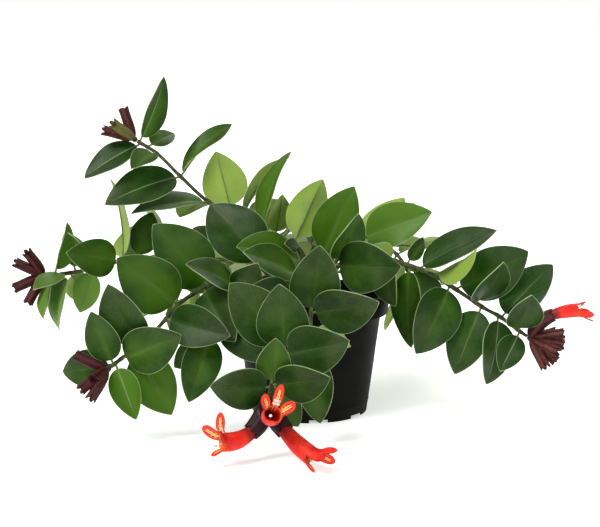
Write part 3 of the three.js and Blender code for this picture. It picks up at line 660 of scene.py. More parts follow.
class Coat(Formula):
    """A material with one Principled shader, written in formulas."""

    def __init__(self, name: str, colour: Colour, roughness: float, shine: float = 0.5) -> None:
        """Start a material with its plain colour, its roughness and the strength of its shine."""
        self.material = bpy.data.materials.new(name)
        self.material.use_nodes = True
        self.material.diffuse_color = (*colour, 1.0)
        super().__init__(self.material.node_tree)
        self.shader = self.tree.nodes["Principled BSDF"]
        self.put("Base Color", (*colour, 1.0))
        self.put("Roughness", roughness)
        self.put("Specular IOR Level", shine)

    def put(self, name: str, value: Entry) -> None:
        """Give an input of the shader a value or a formula."""
        if isinstance(value, Field):
            self.tree.links.new(value.socket, self.shader.inputs[name])
        else:
            self.shader.inputs[name].default_value = value

    def paint(self, colour: Field) -> None:
        """Give the whole piece a colour that varies."""
        self.put("Base Color", colour)

    def let_light_in(self, share: float, reach: Colour) -> None:
        """Let a share of the light under the surface, as far as its colours reach, in metres."""
        self.put("Subsurface Weight", share)
        self.put("Subsurface Radius", reach)
        self.put("Subsurface Scale", 1.0)

    def place(self) -> Field:
        """Return the place on the piece, in metres."""
        return self.take("ShaderNodeTexCoord", output="Object")

    def grain(self, scale: float, detail: float = 2.0, roughness: float = 0.5) -> Field:
        """Return noise from 0 to 1 over the piece, with its scale in cells a metre."""
        return self.noise(self.place(), scale, detail, roughness)

    def stored(self, name: str) -> Field:
        """Return a stored number of the piece."""
        return self.take("ShaderNodeAttribute", output="Fac", attribute_name=name)

    def surface_place(self) -> tuple[Field, Field, Field]:
        """Return the three numbers of the stored place on the piece's own surface."""
        return self.take(
            "ShaderNodeAttribute", output="Vector", attribute_name="surface_place").parts()

    def blend(self, share: Entry, first: Field | Colour, second: Field | Colour) -> Field:
        """Return a colour between two."""
        colours = [c if isinstance(c, Field) else (*c, 1.0) for c in (first, second)]
        return self.take(
            "ShaderNodeMix", {0: share, 6: colours[0], 7: colours[1]}, output=2, data_type="RGBA")

    def mottled(self, noise: Field, span: Span, first: Colour, second: Colour) -> Field:
        """Return a colour that goes from one to another as noise goes through a span."""
        return self.blend(self.ramp(noise, *span), first, second)

    def raise_by(self, height: Field, distance: float, strength: float) -> None:
        """Raise the surface by a height from 0 to 1 over a distance in metres."""
        bump = self.take(
            "ShaderNodeBump", {"Height": height, "Distance": distance, "Strength": strength})
        self.put("Normal", bump)


# Finishes.


@dataclass(frozen=True)
class LeafFinish:
    """The waxy upper face, the pale underside and the margin of a leaf.

    A span gives the distances, in millimetres, at which a line is full and gone: from the middle
    of the blade for midrib, crease and pale rib, and from its edge for the margin.
    """

    deep_green: Colour = (0.007, 0.032, 0.001)
    fresh_green: Colour = (0.048, 0.120, 0.003)
    lime_green: Colour = (0.110, 0.210, 0.030)
    # grey of the waxy bloom, also used as painted sheen
    bloom_and_sheen_green: Colour = (0.050, 0.064, 0.030)
    vein_green: Colour = (0.130, 0.220, 0.055)
    vein_pale: Colour = (0.330, 0.400, 0.260)
    under_green: Colour = (0.235, 0.335, 0.045)
    under_grey: Colour = (0.160, 0.235, 0.065)
    margin_green: Colour = (0.290, 0.370, 0.190)
    upper_reach: Colour = (0.0010, 0.0028, 0.0003)
    under_reach: Colour = (0.0012, 0.0022, 0.0004)
    midrib: Span = (0.05, 0.34)
    crease: Span = (0.2, 3.0)
    pale_rib: Span = (0.22, 0.55)
    edge: Span = (0.10, 0.45)
    side_veins: float = 8.0  # along a blade
    vein_slant: float = 3.0

    def veins(self, coat: Coat) -> tuple[Field, Field, Field, Field]:
        """Return the lines of a leaf.

        Args:
            coat: that they are drawn in.

        Returns:
            The shares of its midrib, the soft crease along it, its side veins and its margin.
        """
        along, side, half_width = coat.surface_place()
        from_midrib = side.size() * half_width
        from_edge = half_width - from_midrib
        midrib = coat.fade(from_midrib, *self.midrib) * coat.fade(along, 0.45, 1.0)
        crease = coat.fade(from_midrib, *self.crease) * coat.fade(along, 0.2, 0.85)
        wave = ((along * self.side_veins - side.size() * self.vein_slant) * tau).cosine()
        laterals = coat.ramp(wave, 0.80, 1.0) * coat.ramp(from_edge, 0.5, 3.0)
        return midrib, crease, laterals, coat.fade(from_edge, *self.edge)

    def upper(self) -> Material:
        """Return the upper face: dark, waxy green, with a faint bloom and painted sheen towards the
        tip.
        """
        coat = Coat("leaf_upper", self.deep_green, 0.36, shine=0.1)
        midrib, crease, laterals, margin = self.veins(coat)
        along, side, half_width = coat.surface_place()
        pale_rib = coat.fade(side.size() * half_width, *self.pale_rib) * coat.stored("vein")
        pale_rib = pale_rib * coat.fade(along, 0.55, 0.95)
        mottle, pores = coat.grain(60.0, 3.0), coat.grain(2600.0)
        tone = coat.stored("tone")
        # painted light: lighter in the middle of the blade, fading towards its edges and tip as
        # light falls on a cupped blade; partly also the blade's own fresher green
        fresh_and_lit_middle = coat.fade(side.size(), 0.0, 1.0, 0.5) * coat.ramp(along, 0.3, 1.0, 1.0, 0.4)
        fresh_and_lit_middle = fresh_and_lit_middle * coat.ramp(tone, -0.8, 0.8, 0.15, 1.0)
        green = coat.blend(coat.ramp(mottle * 0.9 + tone * 0.30 + fresh_and_lit_middle, 0.22, 1.05),
                           self.deep_green, self.fresh_green)
        green = coat.blend(coat.ramp(tone, 1.2, 2.0), green, self.lime_green)
        # greyer towards the tip, in patches and most on dark leaves: partly a waxy bloom, partly a
        # painted sheen standing in for soft reflected light
        bloom_and_sheen = coat.ramp(along, 0.1, 1.0, 0.15, 0.85) * coat.ramp(mottle, 0.3, 0.7, 0.4, 1.0)
        bloom_and_sheen = bloom_and_sheen * coat.ramp(coat.grain(900.0), 0.3, 0.7, 0.6, 1.35)
        green = coat.blend(bloom_and_sheen * coat.ramp(tone, -1.0, 1.2, 1.0, 0.25), green, self.bloom_and_sheen_green)
        clear = coat.ramp(tone, -0.8, 0.8, 0.35, 1.0)
        for share, colour in (
                (crease * clear * 0.30, self.vein_green), (laterals * 0.03, self.vein_green),
                (midrib * clear * 0.65, self.vein_green), (pale_rib * 0.75, self.vein_pale),
                (margin * 0.8, self.margin_green)):
            green = coat.blend(share, green, colour)
        coat.paint(green)
        coat.put("Roughness", coat.ramp(mottle + pores * 0.3, 0.2, 1.1, 0.30, 0.44))
        coat.let_light_in(0.15, self.upper_reach)
        swell = coat.grain(45.0, 1.0)
        coat.raise_by(swell * 5.0 + pores * 0.2 + laterals * 0.15 - midrib * 1.6, 0.0003, 0.8)
        return coat.material

    def under(self) -> Material:
        """Return the underside: pale, matte green that lets light through."""
        coat = Coat("leaf_under", self.under_green, 0.5, shine=0.3)
        midrib, crease, laterals, margin = self.veins(coat)
        green = coat.mottled(coat.grain(55.0), (0.3, 1.0), self.under_green, self.under_grey)
        green = coat.blend(laterals * 0.12 + crease * 0.2, green, self.vein_green)
        green = coat.blend(midrib * 0.5, green, self.margin_green)
        coat.paint(coat.blend(margin * 0.8, green, self.margin_green))
        coat.let_light_in(0.25, self.under_reach)
        coat.raise_by(coat.grain(1500.0) * 0.4 + laterals * 0.4, 0.00025, 0.6)
        return coat.material

    def margin(self) -> Material:
        """Return the thin pale margin."""
        coat = Coat("leaf_margin", self.margin_green, 0.45, shine=0.3)
        shade = coat.ramp(coat.grain(120.0), 0.3, 0.7)
        coat.paint(coat.blend(shade * 0.5, self.margin_green, self.vein_green))
        return coat.material


@dataclass(frozen=True)
class StalkFinish:
    """Stems and leaf stalks: green on young growth, woody and brown near the soil."""

    bark: Colour = (0.098, 0.084, 0.048)
    green: Colour = (0.075, 0.098, 0.020)
    dark: Colour = (0.020, 0.022, 0.007)
    stalk: Colour = (0.170, 0.250, 0.055)
    rib_green: Colour = (0.090, 0.140, 0.028)
    reach: Colour = (0.0006, 0.001, 0.0003)

    def stem(self) -> Material:
        """Return the stem, whose stored tone goes from woody (0) to young (1)."""
        coat = Coat("stem", self.green, 0.55, shine=0.25)
        streaks = coat.grain(260.0, 4.0, 0.65)
        young = coat.mottled(streaks, (0.35, 0.7), self.dark, self.green)
        old = coat.mottled(streaks, (0.3, 0.65), self.dark, self.bark)
        tone = coat.ramp(coat.stored("tone"), 0.05, 0.45)
        coat.paint(coat.blend(tone, old, young))
        coat.raise_by(coat.grain(1400.0, 3.0, 0.6), 0.0004, 0.7)
        return coat.material

    def rib(self) -> Material:
        """Return the leaf stalk and the midrib under the blade."""
        coat = Coat("leaf_stalk", self.stalk, 0.5, shine=0.3)
        coat.paint(coat.mottled(coat.grain(200.0, 3.0), (0.3, 0.7), self.rib_green, self.stalk))
        coat.let_light_in(0.1, self.reach)
        coat.raise_by(coat.grain(1800.0), 0.0002, 0.5)
        return coat.material


@dataclass(frozen=True)
class CalyxFinish:
    """Velvety calyces, maroon or brown by their hue, with a painted highlight along each sepal,
    dark teeth and painted shade in the grooves.
    """

    maroon: Colour = (0.034, 0.004, 0.006)
    ridge_highlight: Colour = (0.080, 0.013, 0.015)
    brown: Colour = (0.048, 0.011, 0.008)
    brown_ridge_highlight: Colour = (0.135, 0.034, 0.021)
    young: Colour = (0.150, 0.150, 0.040)
    tip: Colour = (0.012, 0.004, 0.006)

    def material(self) -> Material:
        """Return the calyx; its place stores its length, the way from a tooth, and its hue."""
        coat = Coat("calyx", self.maroon, 0.5, shine=0.18)
        along, from_tooth, hue = coat.surface_place()
        mottle, speckle = coat.grain(340.0, 3.0), coat.grain(1300.0)
        warm = coat.ramp(hue + mottle * 0.5, 0.15, 0.9)
        # painted highlight: lighter along the middle of each sepal, fading into the grooves and
        # broken by mottling
        ridge_highlight = coat.fade(from_tooth * 0.6 + mottle * 1.2, 0.55, 1.10)
        skin = coat.blend(
            warm, coat.blend(ridge_highlight, self.maroon, self.ridge_highlight),
            coat.blend(ridge_highlight, self.brown, self.brown_ridge_highlight))
        skin = coat.blend(coat.ramp(hue + mottle * 0.3, 0.78, 1.0), skin, self.young)
        skin = coat.blend(coat.fade(along, 0.0, 0.16, 0.55) * (hue * 1.2), skin, self.young)
        # dark tips of the teeth, their own colour, and painted shade in the grooves between the
        # sepals
        dark = coat.greater(coat.ramp(along, 0.86, 0.98), coat.ramp(from_tooth, 0.86, 1.0))
        dark = coat.greater(dark * 0.8, coat.ramp(speckle, 0.55, 0.70) * 0.5)
        dark = coat.greater(dark, coat.fade(hue, -0.5, 0.0, 0.85))
        coat.paint(coat.blend(dark, skin, self.tip))
        coat.raise_by(coat.grain(1900.0, 3.0), 0.0003, 0.6)
        return coat.material


@dataclass(frozen=True)
class CorollaFinish:
    """Scarlet corollas, orange inside their lobes with dark stripes, and their stamens.

    On a lobe the stored place runs along it (x, from 0 to 1) and across it (y, from -1 to 1),
    with 1 for z. On the tube x is negative and the others are 0.
    """

    scarlet: Colour = (0.580, 0.008, 0.008)
    bright: Colour = (0.800, 0.036, 0.016)
    orange: Colour = (0.900, 0.300, 0.080)
    gold: Colour = (0.900, 0.560, 0.200)
    # dark stripes and lobe edges, and painted shade at the tube's foot
    stripe_and_shade: Colour = (0.040, 0.002, 0.004)
    throat: Colour = (0.780, 0.055, 0.020)
    cream: Colour = (0.800, 0.720, 0.600)
    pink: Colour = (0.740, 0.430, 0.430)
    outer_reach: Colour = (0.002, 0.0004, 0.0003)
    inner_reach: Colour = (0.002, 0.0008, 0.0004)
    ray_at: float = 0.40  # across half a lobe
    gold_at: float = 0.17
    dashes: float = 5.5  # along a lobe

    def outside(self) -> Material:
        """Return the velvety outside, dark at the lobes' edges, with painted shade towards the
        calyx.
        """
        coat = Coat("corolla_outside", self.scarlet, 0.5, shine=0.2)
        along, side, lobed = coat.surface_place()
        skin = coat.mottled(coat.grain(130.0), (0.3, 0.7), self.scarlet, self.bright)
        edge = coat.ramp(side.size(), 0.72, 1.0) * coat.ramp(along, 0.1, 0.3) * lobed
        # painted shade: the tube is darkened inside the calyx and just past its mouth
        foot = coat.fade(along, -0.95, -0.65, 0.7)
        coat.paint(coat.blend(coat.greater(edge * 0.6, foot), skin, self.stripe_and_shade))
        coat.let_light_in(0.1, self.outer_reach)
        coat.raise_by(coat.grain(1500.0, 3.0), 0.0002, 0.5)
        return coat.material

    def inside(self) -> Material:
        """Return the inside: gold bands and dashed rays over orange, with a scarlet edge."""
        coat = Coat("corolla_inside", self.orange, 0.45, shine=0.25)
        along, side, lobed = coat.surface_place()
        broken = coat.grain(500.0)
        bent = side.size() + (broken - 0.5) * 0.15
        dashes = (along * (tau * self.dashes) + side * 2.0 + broken * 2.0).cosine()
        rays = coat.fade((bent - self.ray_at).size(), 0.07, 0.14) * coat.ramp(dashes, -0.5, 0.0)
        gold = coat.fade((bent - self.gold_at).size(), 0.06, 0.13)
        reach = coat.ramp(along, 0.02, 0.12) * lobed * (1.0 - coat.ramp(along, 0.70, 0.82))
        base = coat.blend(coat.ramp(along, -0.4, 0.05), self.throat, self.orange)
        for share, colour in (
                (coat.ramp(along, 0.20, 0.60) * lobed, self.bright), (gold * reach, self.gold),
                (rays * reach, self.stripe_and_shade),
                (coat.ramp(side.size(), 0.50, 0.70) * lobed, self.bright),
                (coat.ramp(side.size(), 0.86, 1.0) * lobed * 0.6, self.stripe_and_shade)):
            base = coat.blend(share, base, colour)
        coat.paint(base)
        coat.let_light_in(0.08, self.inner_reach)
        coat.raise_by(coat.grain(1200.0, 3.0), 0.0002, 0.5)
        return coat.material

    def filament(self) -> Material:
        """Return the stalks of stamens and style, scarlet to cream by their stored tone."""
        coat = Coat("filament", self.pink, 0.4)
        coat.paint(coat.blend(coat.stored("tone"), self.bright, self.cream))
        return coat.material

    def anther(self) -> Material:
        """Return the anthers and the stigma."""
        coat = Coat("anther", self.cream, 0.6)
        coat.paint(coat.mottled(coat.grain(900.0), (0.4, 0.7), self.cream, self.pink))
        coat.raise_by(coat.grain(3000.0), 0.0002, 0.6)
        return coat.material

    def hair(self) -> Material:
        """Return the short hairs on the corolla."""
        coat = Coat("corolla_hair", self.bright, 0.4)
        share = coat.ramp(coat.grain(400.0), 0.3, 0.9, 0.0, 0.4)
        coat.paint(coat.blend(share, self.bright, self.orange))
        return coat.material


@dataclass(frozen=True)
class PotFinish:
    """Black moulded plastic, satin, with a faint grain."""

    black: Colour = (0.0034, 0.0032, 0.0030)
    worn: Colour = (0.0060, 0.0057, 0.0053)

    def material(self) -> Material:
        """Return the pot's plastic."""
        coat = Coat("pot_plastic", self.black, 0.45, shine=0.05)
        coat.paint(coat.mottled(coat.grain(35.0, 3.0), (0.3, 0.7), self.black, self.worn))
        coat.put("Roughness", coat.ramp(coat.grain(60.0, 3.0), 0.3, 0.7, 0.50, 0.60))
        coat.raise_by(coat.grain(4200.0), 0.00012, 0.5)
        return coat.material


@dataclass(frozen=True)
class SoilFinish:
    """Moist peat with fibres and lighter crumbs."""

    dark: Colour = (0.016, 0.010, 0.006)
    brown: Colour = (0.055, 0.032, 0.017)
    fibre: Colour = (0.130, 0.082, 0.044)

    def material(self) -> Material:
        """Return the soil's body."""
        coat = Coat("peat", self.brown, 0.92)
        lumps = coat.grain(420.0, 5.0, 0.7)
        coat.paint(coat.mottled(lumps, (0.3, 0.7), self.dark, self.brown))
        coat.raise_by(lumps, 0.0016, 0.9)
        return coat.material

    def crumb(self) -> Material:
        """Return the loose crumbs on top."""
        coat = Coat("peat_crumb", self.brown, 0.9)
        coat.paint(coat.mottled(coat.grain(260.0), (0.35, 0.68), self.dark, self.fibre))
        coat.raise_by(coat.grain(1600.0, 3.0), 0.0006, 0.8)
        return coat.material


# Node trees that shape the plant.


class LeafShaper(Shaper):
    """Trees whose points are leaves, which carry their place and form as stored values."""

    def station(self, share: Field) -> tuple[Field, Field, Field]:
        """Return the midrib's place and the axes across and above it at a share of the leaf.

        Args:
            share: from the leaf's node (0) to its tip (1).

        Returns:
            The place, the axis across the blade, and the axis above it.
        """
        half = self.named("bend") * 0.5
        lean = half - self.named("bend") * share
        radius = self.named("length") / (half.sine() * 2.0)
        direction = self.named("direction", Kind.ARROW)
        face = self.named("face", Kind.ARROW)
        place = (self.named("base", Kind.ARROW) +
                 direction * (radius * (half.sine() - lean.sine())) +
                 face * (radius * (lean.cosine() - half.cosine())))
        normal = face * lean.cosine() - direction * lean.sine()
        side = face.cross(direction)
        twist = self.named("twist") * share
        return (place, side * twist.cosine() + normal * twist.sine(),
                normal * twist.cosine() - side * twist.sine())

    def blade_share(self, along: Field) -> Field:
        """Return the share of the leaf at a share of its blade."""
        return self.named("petiole") + (1.0 - self.named("petiole")) * along


def outline(along: Field | float) -> Field | float:
    """Return a blade's width at a share of its length, over its greatest width."""
    return along ** 0.55 * (1.0 - along) ** 0.85 / 0.3915  # the greatest value of the product


class BladeShaper(LeafShaper):
    """Grows a folded, arched and lightly waved blade from each point."""

    FOLD_ROUNDING = 0.015
    FOLD_DROP = 0.1225  # its square root, so that the midrib stays in place
    WAVES, WAVE_SLANT, WAVE_SHIFT = 9.0, 1.6, 6.0
    WELD = 0.02

    def __init__(self) -> None:
        """Write the tree."""
        super().__init__("leaf_blades")
        rows, columns = self.ask("Rows", "Int"), self.ask("Columns", "Int")
        camber, wave = self.ask("Camber"), self.ask("Wave")
        foot, tip = self.ask("Foot half-width"), self.ask("Tip half-width")
        finish = self.ask("Finish", "Material")
        grid = self.take("GeometryNodeMeshGrid", {"Vertices X": columns, "Vertices Y": rows})
        x, y, _ = self.take("GeometryNodeInputPosition").parts()
        grid = self.store(grid, "along", y + 0.5)
        grid = self.store(grid, "side", x * -2.0)
        blades = self.spread(grid)

        even, side = self.named("along"), self.named("side")
        along = even * 0.5 + (1.0 - (even * pi).cosine()) * 0.25  # closer rows at both ends
        least = self.ramp(along, 0.0, 1.0, foot, tip)
        width = self.greater(self.named("half_width") * outline(along), least)
        reach = side.size()
        gutter = (side * side + self.FOLD_ROUNDING) ** 0.5 - self.FOLD_DROP
        ripple = (along * self.WAVES + side * self.WAVE_SLANT +
                  self.named("seed") * self.WAVE_SHIFT).sine() * reach ** 3.0
        lift = (width * self.named("fold").sine() * gutter +
                width * camber * reach * (1.0 - reach) * 4.0 +
                wave * ripple * self.ramp(along, 0.05, 0.35))
        place, side_axis, up_axis = self.station(self.blade_share(along))
        spot = place + side_axis * (side * width * self.named("fold").cosine()) + up_axis * lift
        blades = self.store(
            blades, "surface_place", self.join(along, side, width * (1.0 / MM)), Kind.ARROW)
        merged = self.take("GeometryNodeMergeByDistance", {
            "Geometry": self.moved(blades, spot), "Distance": self.WELD * MM})
        smooth = self.take("GeometryNodeSetShadeSmooth", {"Geometry": merged})
        self.finish(smooth, finish)


class RibShaper(LeafShaper):
    """Grows a leaf stalk that runs on as the raised midrib under the blade."""

    def __init__(self) -> None:
        """Write the tree."""
        super().__init__("leaf_ribs")
        steps, sides = self.ask("Steps", "Int"), self.ask("Sides", "Int")
        stalk, rib, end = self.ask("Stalk radius"), self.ask("Rib radius"), self.ask("End radius")
        depth, reach = self.ask("Depth"), self.ask("Reach")
        finish = self.ask("Finish", "Material")
        line = self.take("GeometryNodeMeshLine", {"Count": steps})
        index = self.take("GeometryNodeInputIndex")
        line = self.store(line, "along", index / (steps - 1))
        lines = self.spread(line)

        petiole = self.named("petiole")
        share = self.named("along") * self.blade_share(reach)
        on_blade = (share - petiole) / (1.0 - petiole)
        place, _, up_axis = self.station(share)
        sunk = self.ramp(on_blade, -0.06, 0.04, 0.0, depth)
        girth = self.math("MINIMUM", self.ramp(on_blade, -0.1, 0.12, stalk, rib),
                          self.ramp(on_blade, 0.0, 1.0, rib * 1.6, end))
        lines = self.store(lines, "girth", girth)
        self.finish(tube(self, self.moved(lines, place - up_axis * sunk), sides), finish)


class StemShaper(Shaper):
    """Makes a tube along a line whose points carry their radius."""

    def __init__(self) -> None:
        """Write the tree."""
        super().__init__("stems")
        sides, finish = self.ask("Sides", "Int"), self.ask("Finish", "Material")
        self.finish(tube(self, self.geometry, sides), finish)


def tube(shaper: Shaper, lines: Field, sides: Field) -> Field:
    """Return closed tubes along edges whose points store their radius as girth."""
    curve = shaper.take("GeometryNodeMeshToCurve", {"Mesh": lines})
    ring = shaper.take("GeometryNodeCurvePrimitiveCircle", {"Resolution": sides, "Radius": 1.0})
    entries = {"Curve": curve, "Profile Curve": ring, "Scale": shaper.named("girth"),
               "Fill Caps": True}
    body = shaper.take("GeometryNodeCurveToMesh", entries)
    return shaper.take("GeometryNodeSetShadeSmooth", {"Geometry": body})


class Scatter(Shaper):
    """Scatters small shapes over a surface, turned to its normal."""

    SPIN = 3.1  # either way about the normal, in radians

    def __init__(self, name: str, shape: Callable[[Shaper], Field]) -> None:
        """Write the tree.

        Args:
            name: the tree's.
            shape: makes the shape that it scatters.
        """
        super().__init__(name)
        density, seed = self.ask("Density"), self.ask("Seed", "Int")
        least, most = self.ask("Least size"), self.ask("Most size")
        tilt, finish = self.ask("Tilt"), self.ask("Finish", "Material")
        dots = self.add("GeometryNodeDistributePointsOnFaces",
                        {"Mesh": self.geometry, "Density": density, "Seed": seed})
        size = self.take("FunctionNodeRandomValue", {2: least, 3: most, "Seed": seed}, output=1)
        furthest = self.join(tilt, tilt, self.SPIN)
        turn = self.take("FunctionNodeRandomValue",
                         {0: furthest * -1.0, 1: furthest, "Seed": seed},
                         data_type=Kind.ARROW.value)
        copies = self.take("GeometryNodeInstanceOnPoints", {
            "Points": Field(self, dots.outputs["Points"]), "Instance": shape(self),
            "Rotation": Field(self, dots.outputs["Rotation"]), "Scale": size})
        turned = self.take("GeometryNodeRotateInstances", {
            "Instances": copies, "Rotation": turn, "Local Space": True})
        self.finish(turned, finish)


def hair_shape(shaper: Shaper) -> Field:
    """Return a fine cone of unit length."""
    entries = {"Vertices": 4, "Radius Top": 0.0, "Radius Bottom": 0.07, "Depth": 1.0}
    return shaper.take("GeometryNodeMeshCone", entries)


def crumb_shape(shaper: Shaper) -> Field:
    """Return a rough crumb of unit radius."""
    ball = shaper.take("GeometryNodeMeshIcoSphere", {"Radius": 1.0, "Subdivisions": 1})
    place = shaper.take("GeometryNodeInputPosition")
    rough = shaper.noise(place, 1.7, 1.0) + 0.45
    return shaper.moved(ball, place * rough * (1.0, 0.7, 0.5))


# Shoots.


class CentreLine:
    """The smooth line through a shoot's points, with its straight foot in the soil."""

    SOIL_TOP = 79.0
    FOOT = (-20.0, 2.0, 12.0)  # heights over the soil of the points before the path's first
    STEP = 0.0005

    def __init__(self, hole: Sequence[float], path: Sequence[Sequence[float]]) -> None:
        """Set the line's points."""
        self.points = [Vector((*hole, self.SOIL_TOP + height)) for height in self.FOOT]
        self.points += [Vector(point) for point in path]
        self.last = len(self.points) - 1

    def point(self, share: float) -> Vector:
        """Return the place at a share of the line, a Catmull-Rom spline through its points."""
        spot = min(max(share, 0.0), 1.0) * self.last
        index = min(int(spot), self.last - 1)
        w = spot - index
        start, end = self.points[index], self.points[index + 1]
        before = self.points[index - 1] if index else start * 2 - end
        after = self.points[index + 2] if index + 2 <= self.last else end * 2 - start
        lead, trail = (end - before) * 0.5, (after - start) * 0.5
        return (start + lead * w + (start * -3 + end * 3 - lead * 2 - trail) * w ** 2 +
                (start * 2 - end * 2 + lead + trail) * w ** 3)

    def tangent(self, share: float) -> Vector:
        """Return the line's direction at a share of it."""
        return (self.point(share + self.STEP) - self.point(share - self.STEP)).normalized()

    def share(self, at: float) -> float:
        """Return the share of the line at a place that counts from its path's first point."""
        return (at + len(self.FOOT)) / self.last


@dataclass
class Leaf:
    """One leaf: its node, its axes and its form, in millimetres and degrees."""

    base: Vector
    direction: Vector
    face: Vector
    size: float
    width_ratio: float
    bend: float
    fold: float
    twist: float
    tone: float = 0.0
    vein: float = 0.0

    PETIOLE = 4.5
    THICKNESS = 0.9
    CORNERS = ((0.42, 1), (0.42, -1), (0.75, 1), (0.75, -1))  # along and across the blade
    ENOUGH_CORNERS = 3
    NEAR = 0.05  # millimetres between a computed corner and the solid's own

    @property
    def half_width(self) -> float:
        """Half the blade's greatest width."""
        return self.width_ratio * (self.size - self.PETIOLE) / 2

    def corner(self, along: float, side: float) -> Vector:
        """Return a place at the edge of the solid's blade, on its upper face.

        Args:
            along: the share of the blade's length.
            side: 1 or -1, for its left or right edge.

        Returns:
            The place.
        """
        bend, fold = radians(self.bend), radians(self.fold)
        share = self.PETIOLE / self.size
        share += (1 - share) * along
        radius = self.size / (2 * sin(bend / 2))
        lean = bend / 2 - bend * share
        centre = (self.base + self.direction * radius * (sin(bend / 2) - sin(lean)) +
                  self.face * radius * (cos(lean) - cos(bend / 2)))
        normal = self.face * cos(lean) - self.direction * sin(lean)
        level = self.face.cross(self.direction)
        twist = radians(self.twist) * share
        side_axis = level * cos(twist) + normal * sin(twist)
        up_axis = normal * cos(twist) - level * sin(twist)
        width = self.half_width * outline(along)
        return (centre + side_axis * side * width * cos(fold) +
                up_axis * (abs(side) * width * sin(fold) + self.THICKNESS / 2))

    def found_in(self, solid: KDTree) -> bool:
        """Tell whether the solid's blade has this leaf's corners."""
        near = sum(solid.find(self.corner(*place))[2] < self.NEAR for place in self.CORNERS)
        return near >= self.ENOUGH_CORNERS


def leaf_turns() -> list[tuple[int, int, int]]:
    """Return the small turns that a leaf may have made about its node, the smallest first."""
    steps = range(-3, 4)
    turns = [(swing, sway, roll) for swing in steps for sway in steps for roll in (0, -1, 1, -2, 2)]
    return sorted(turns, key=lambda t: t[0] ** 2 + t[1] ** 2 + 0.6 * t[2] ** 2)


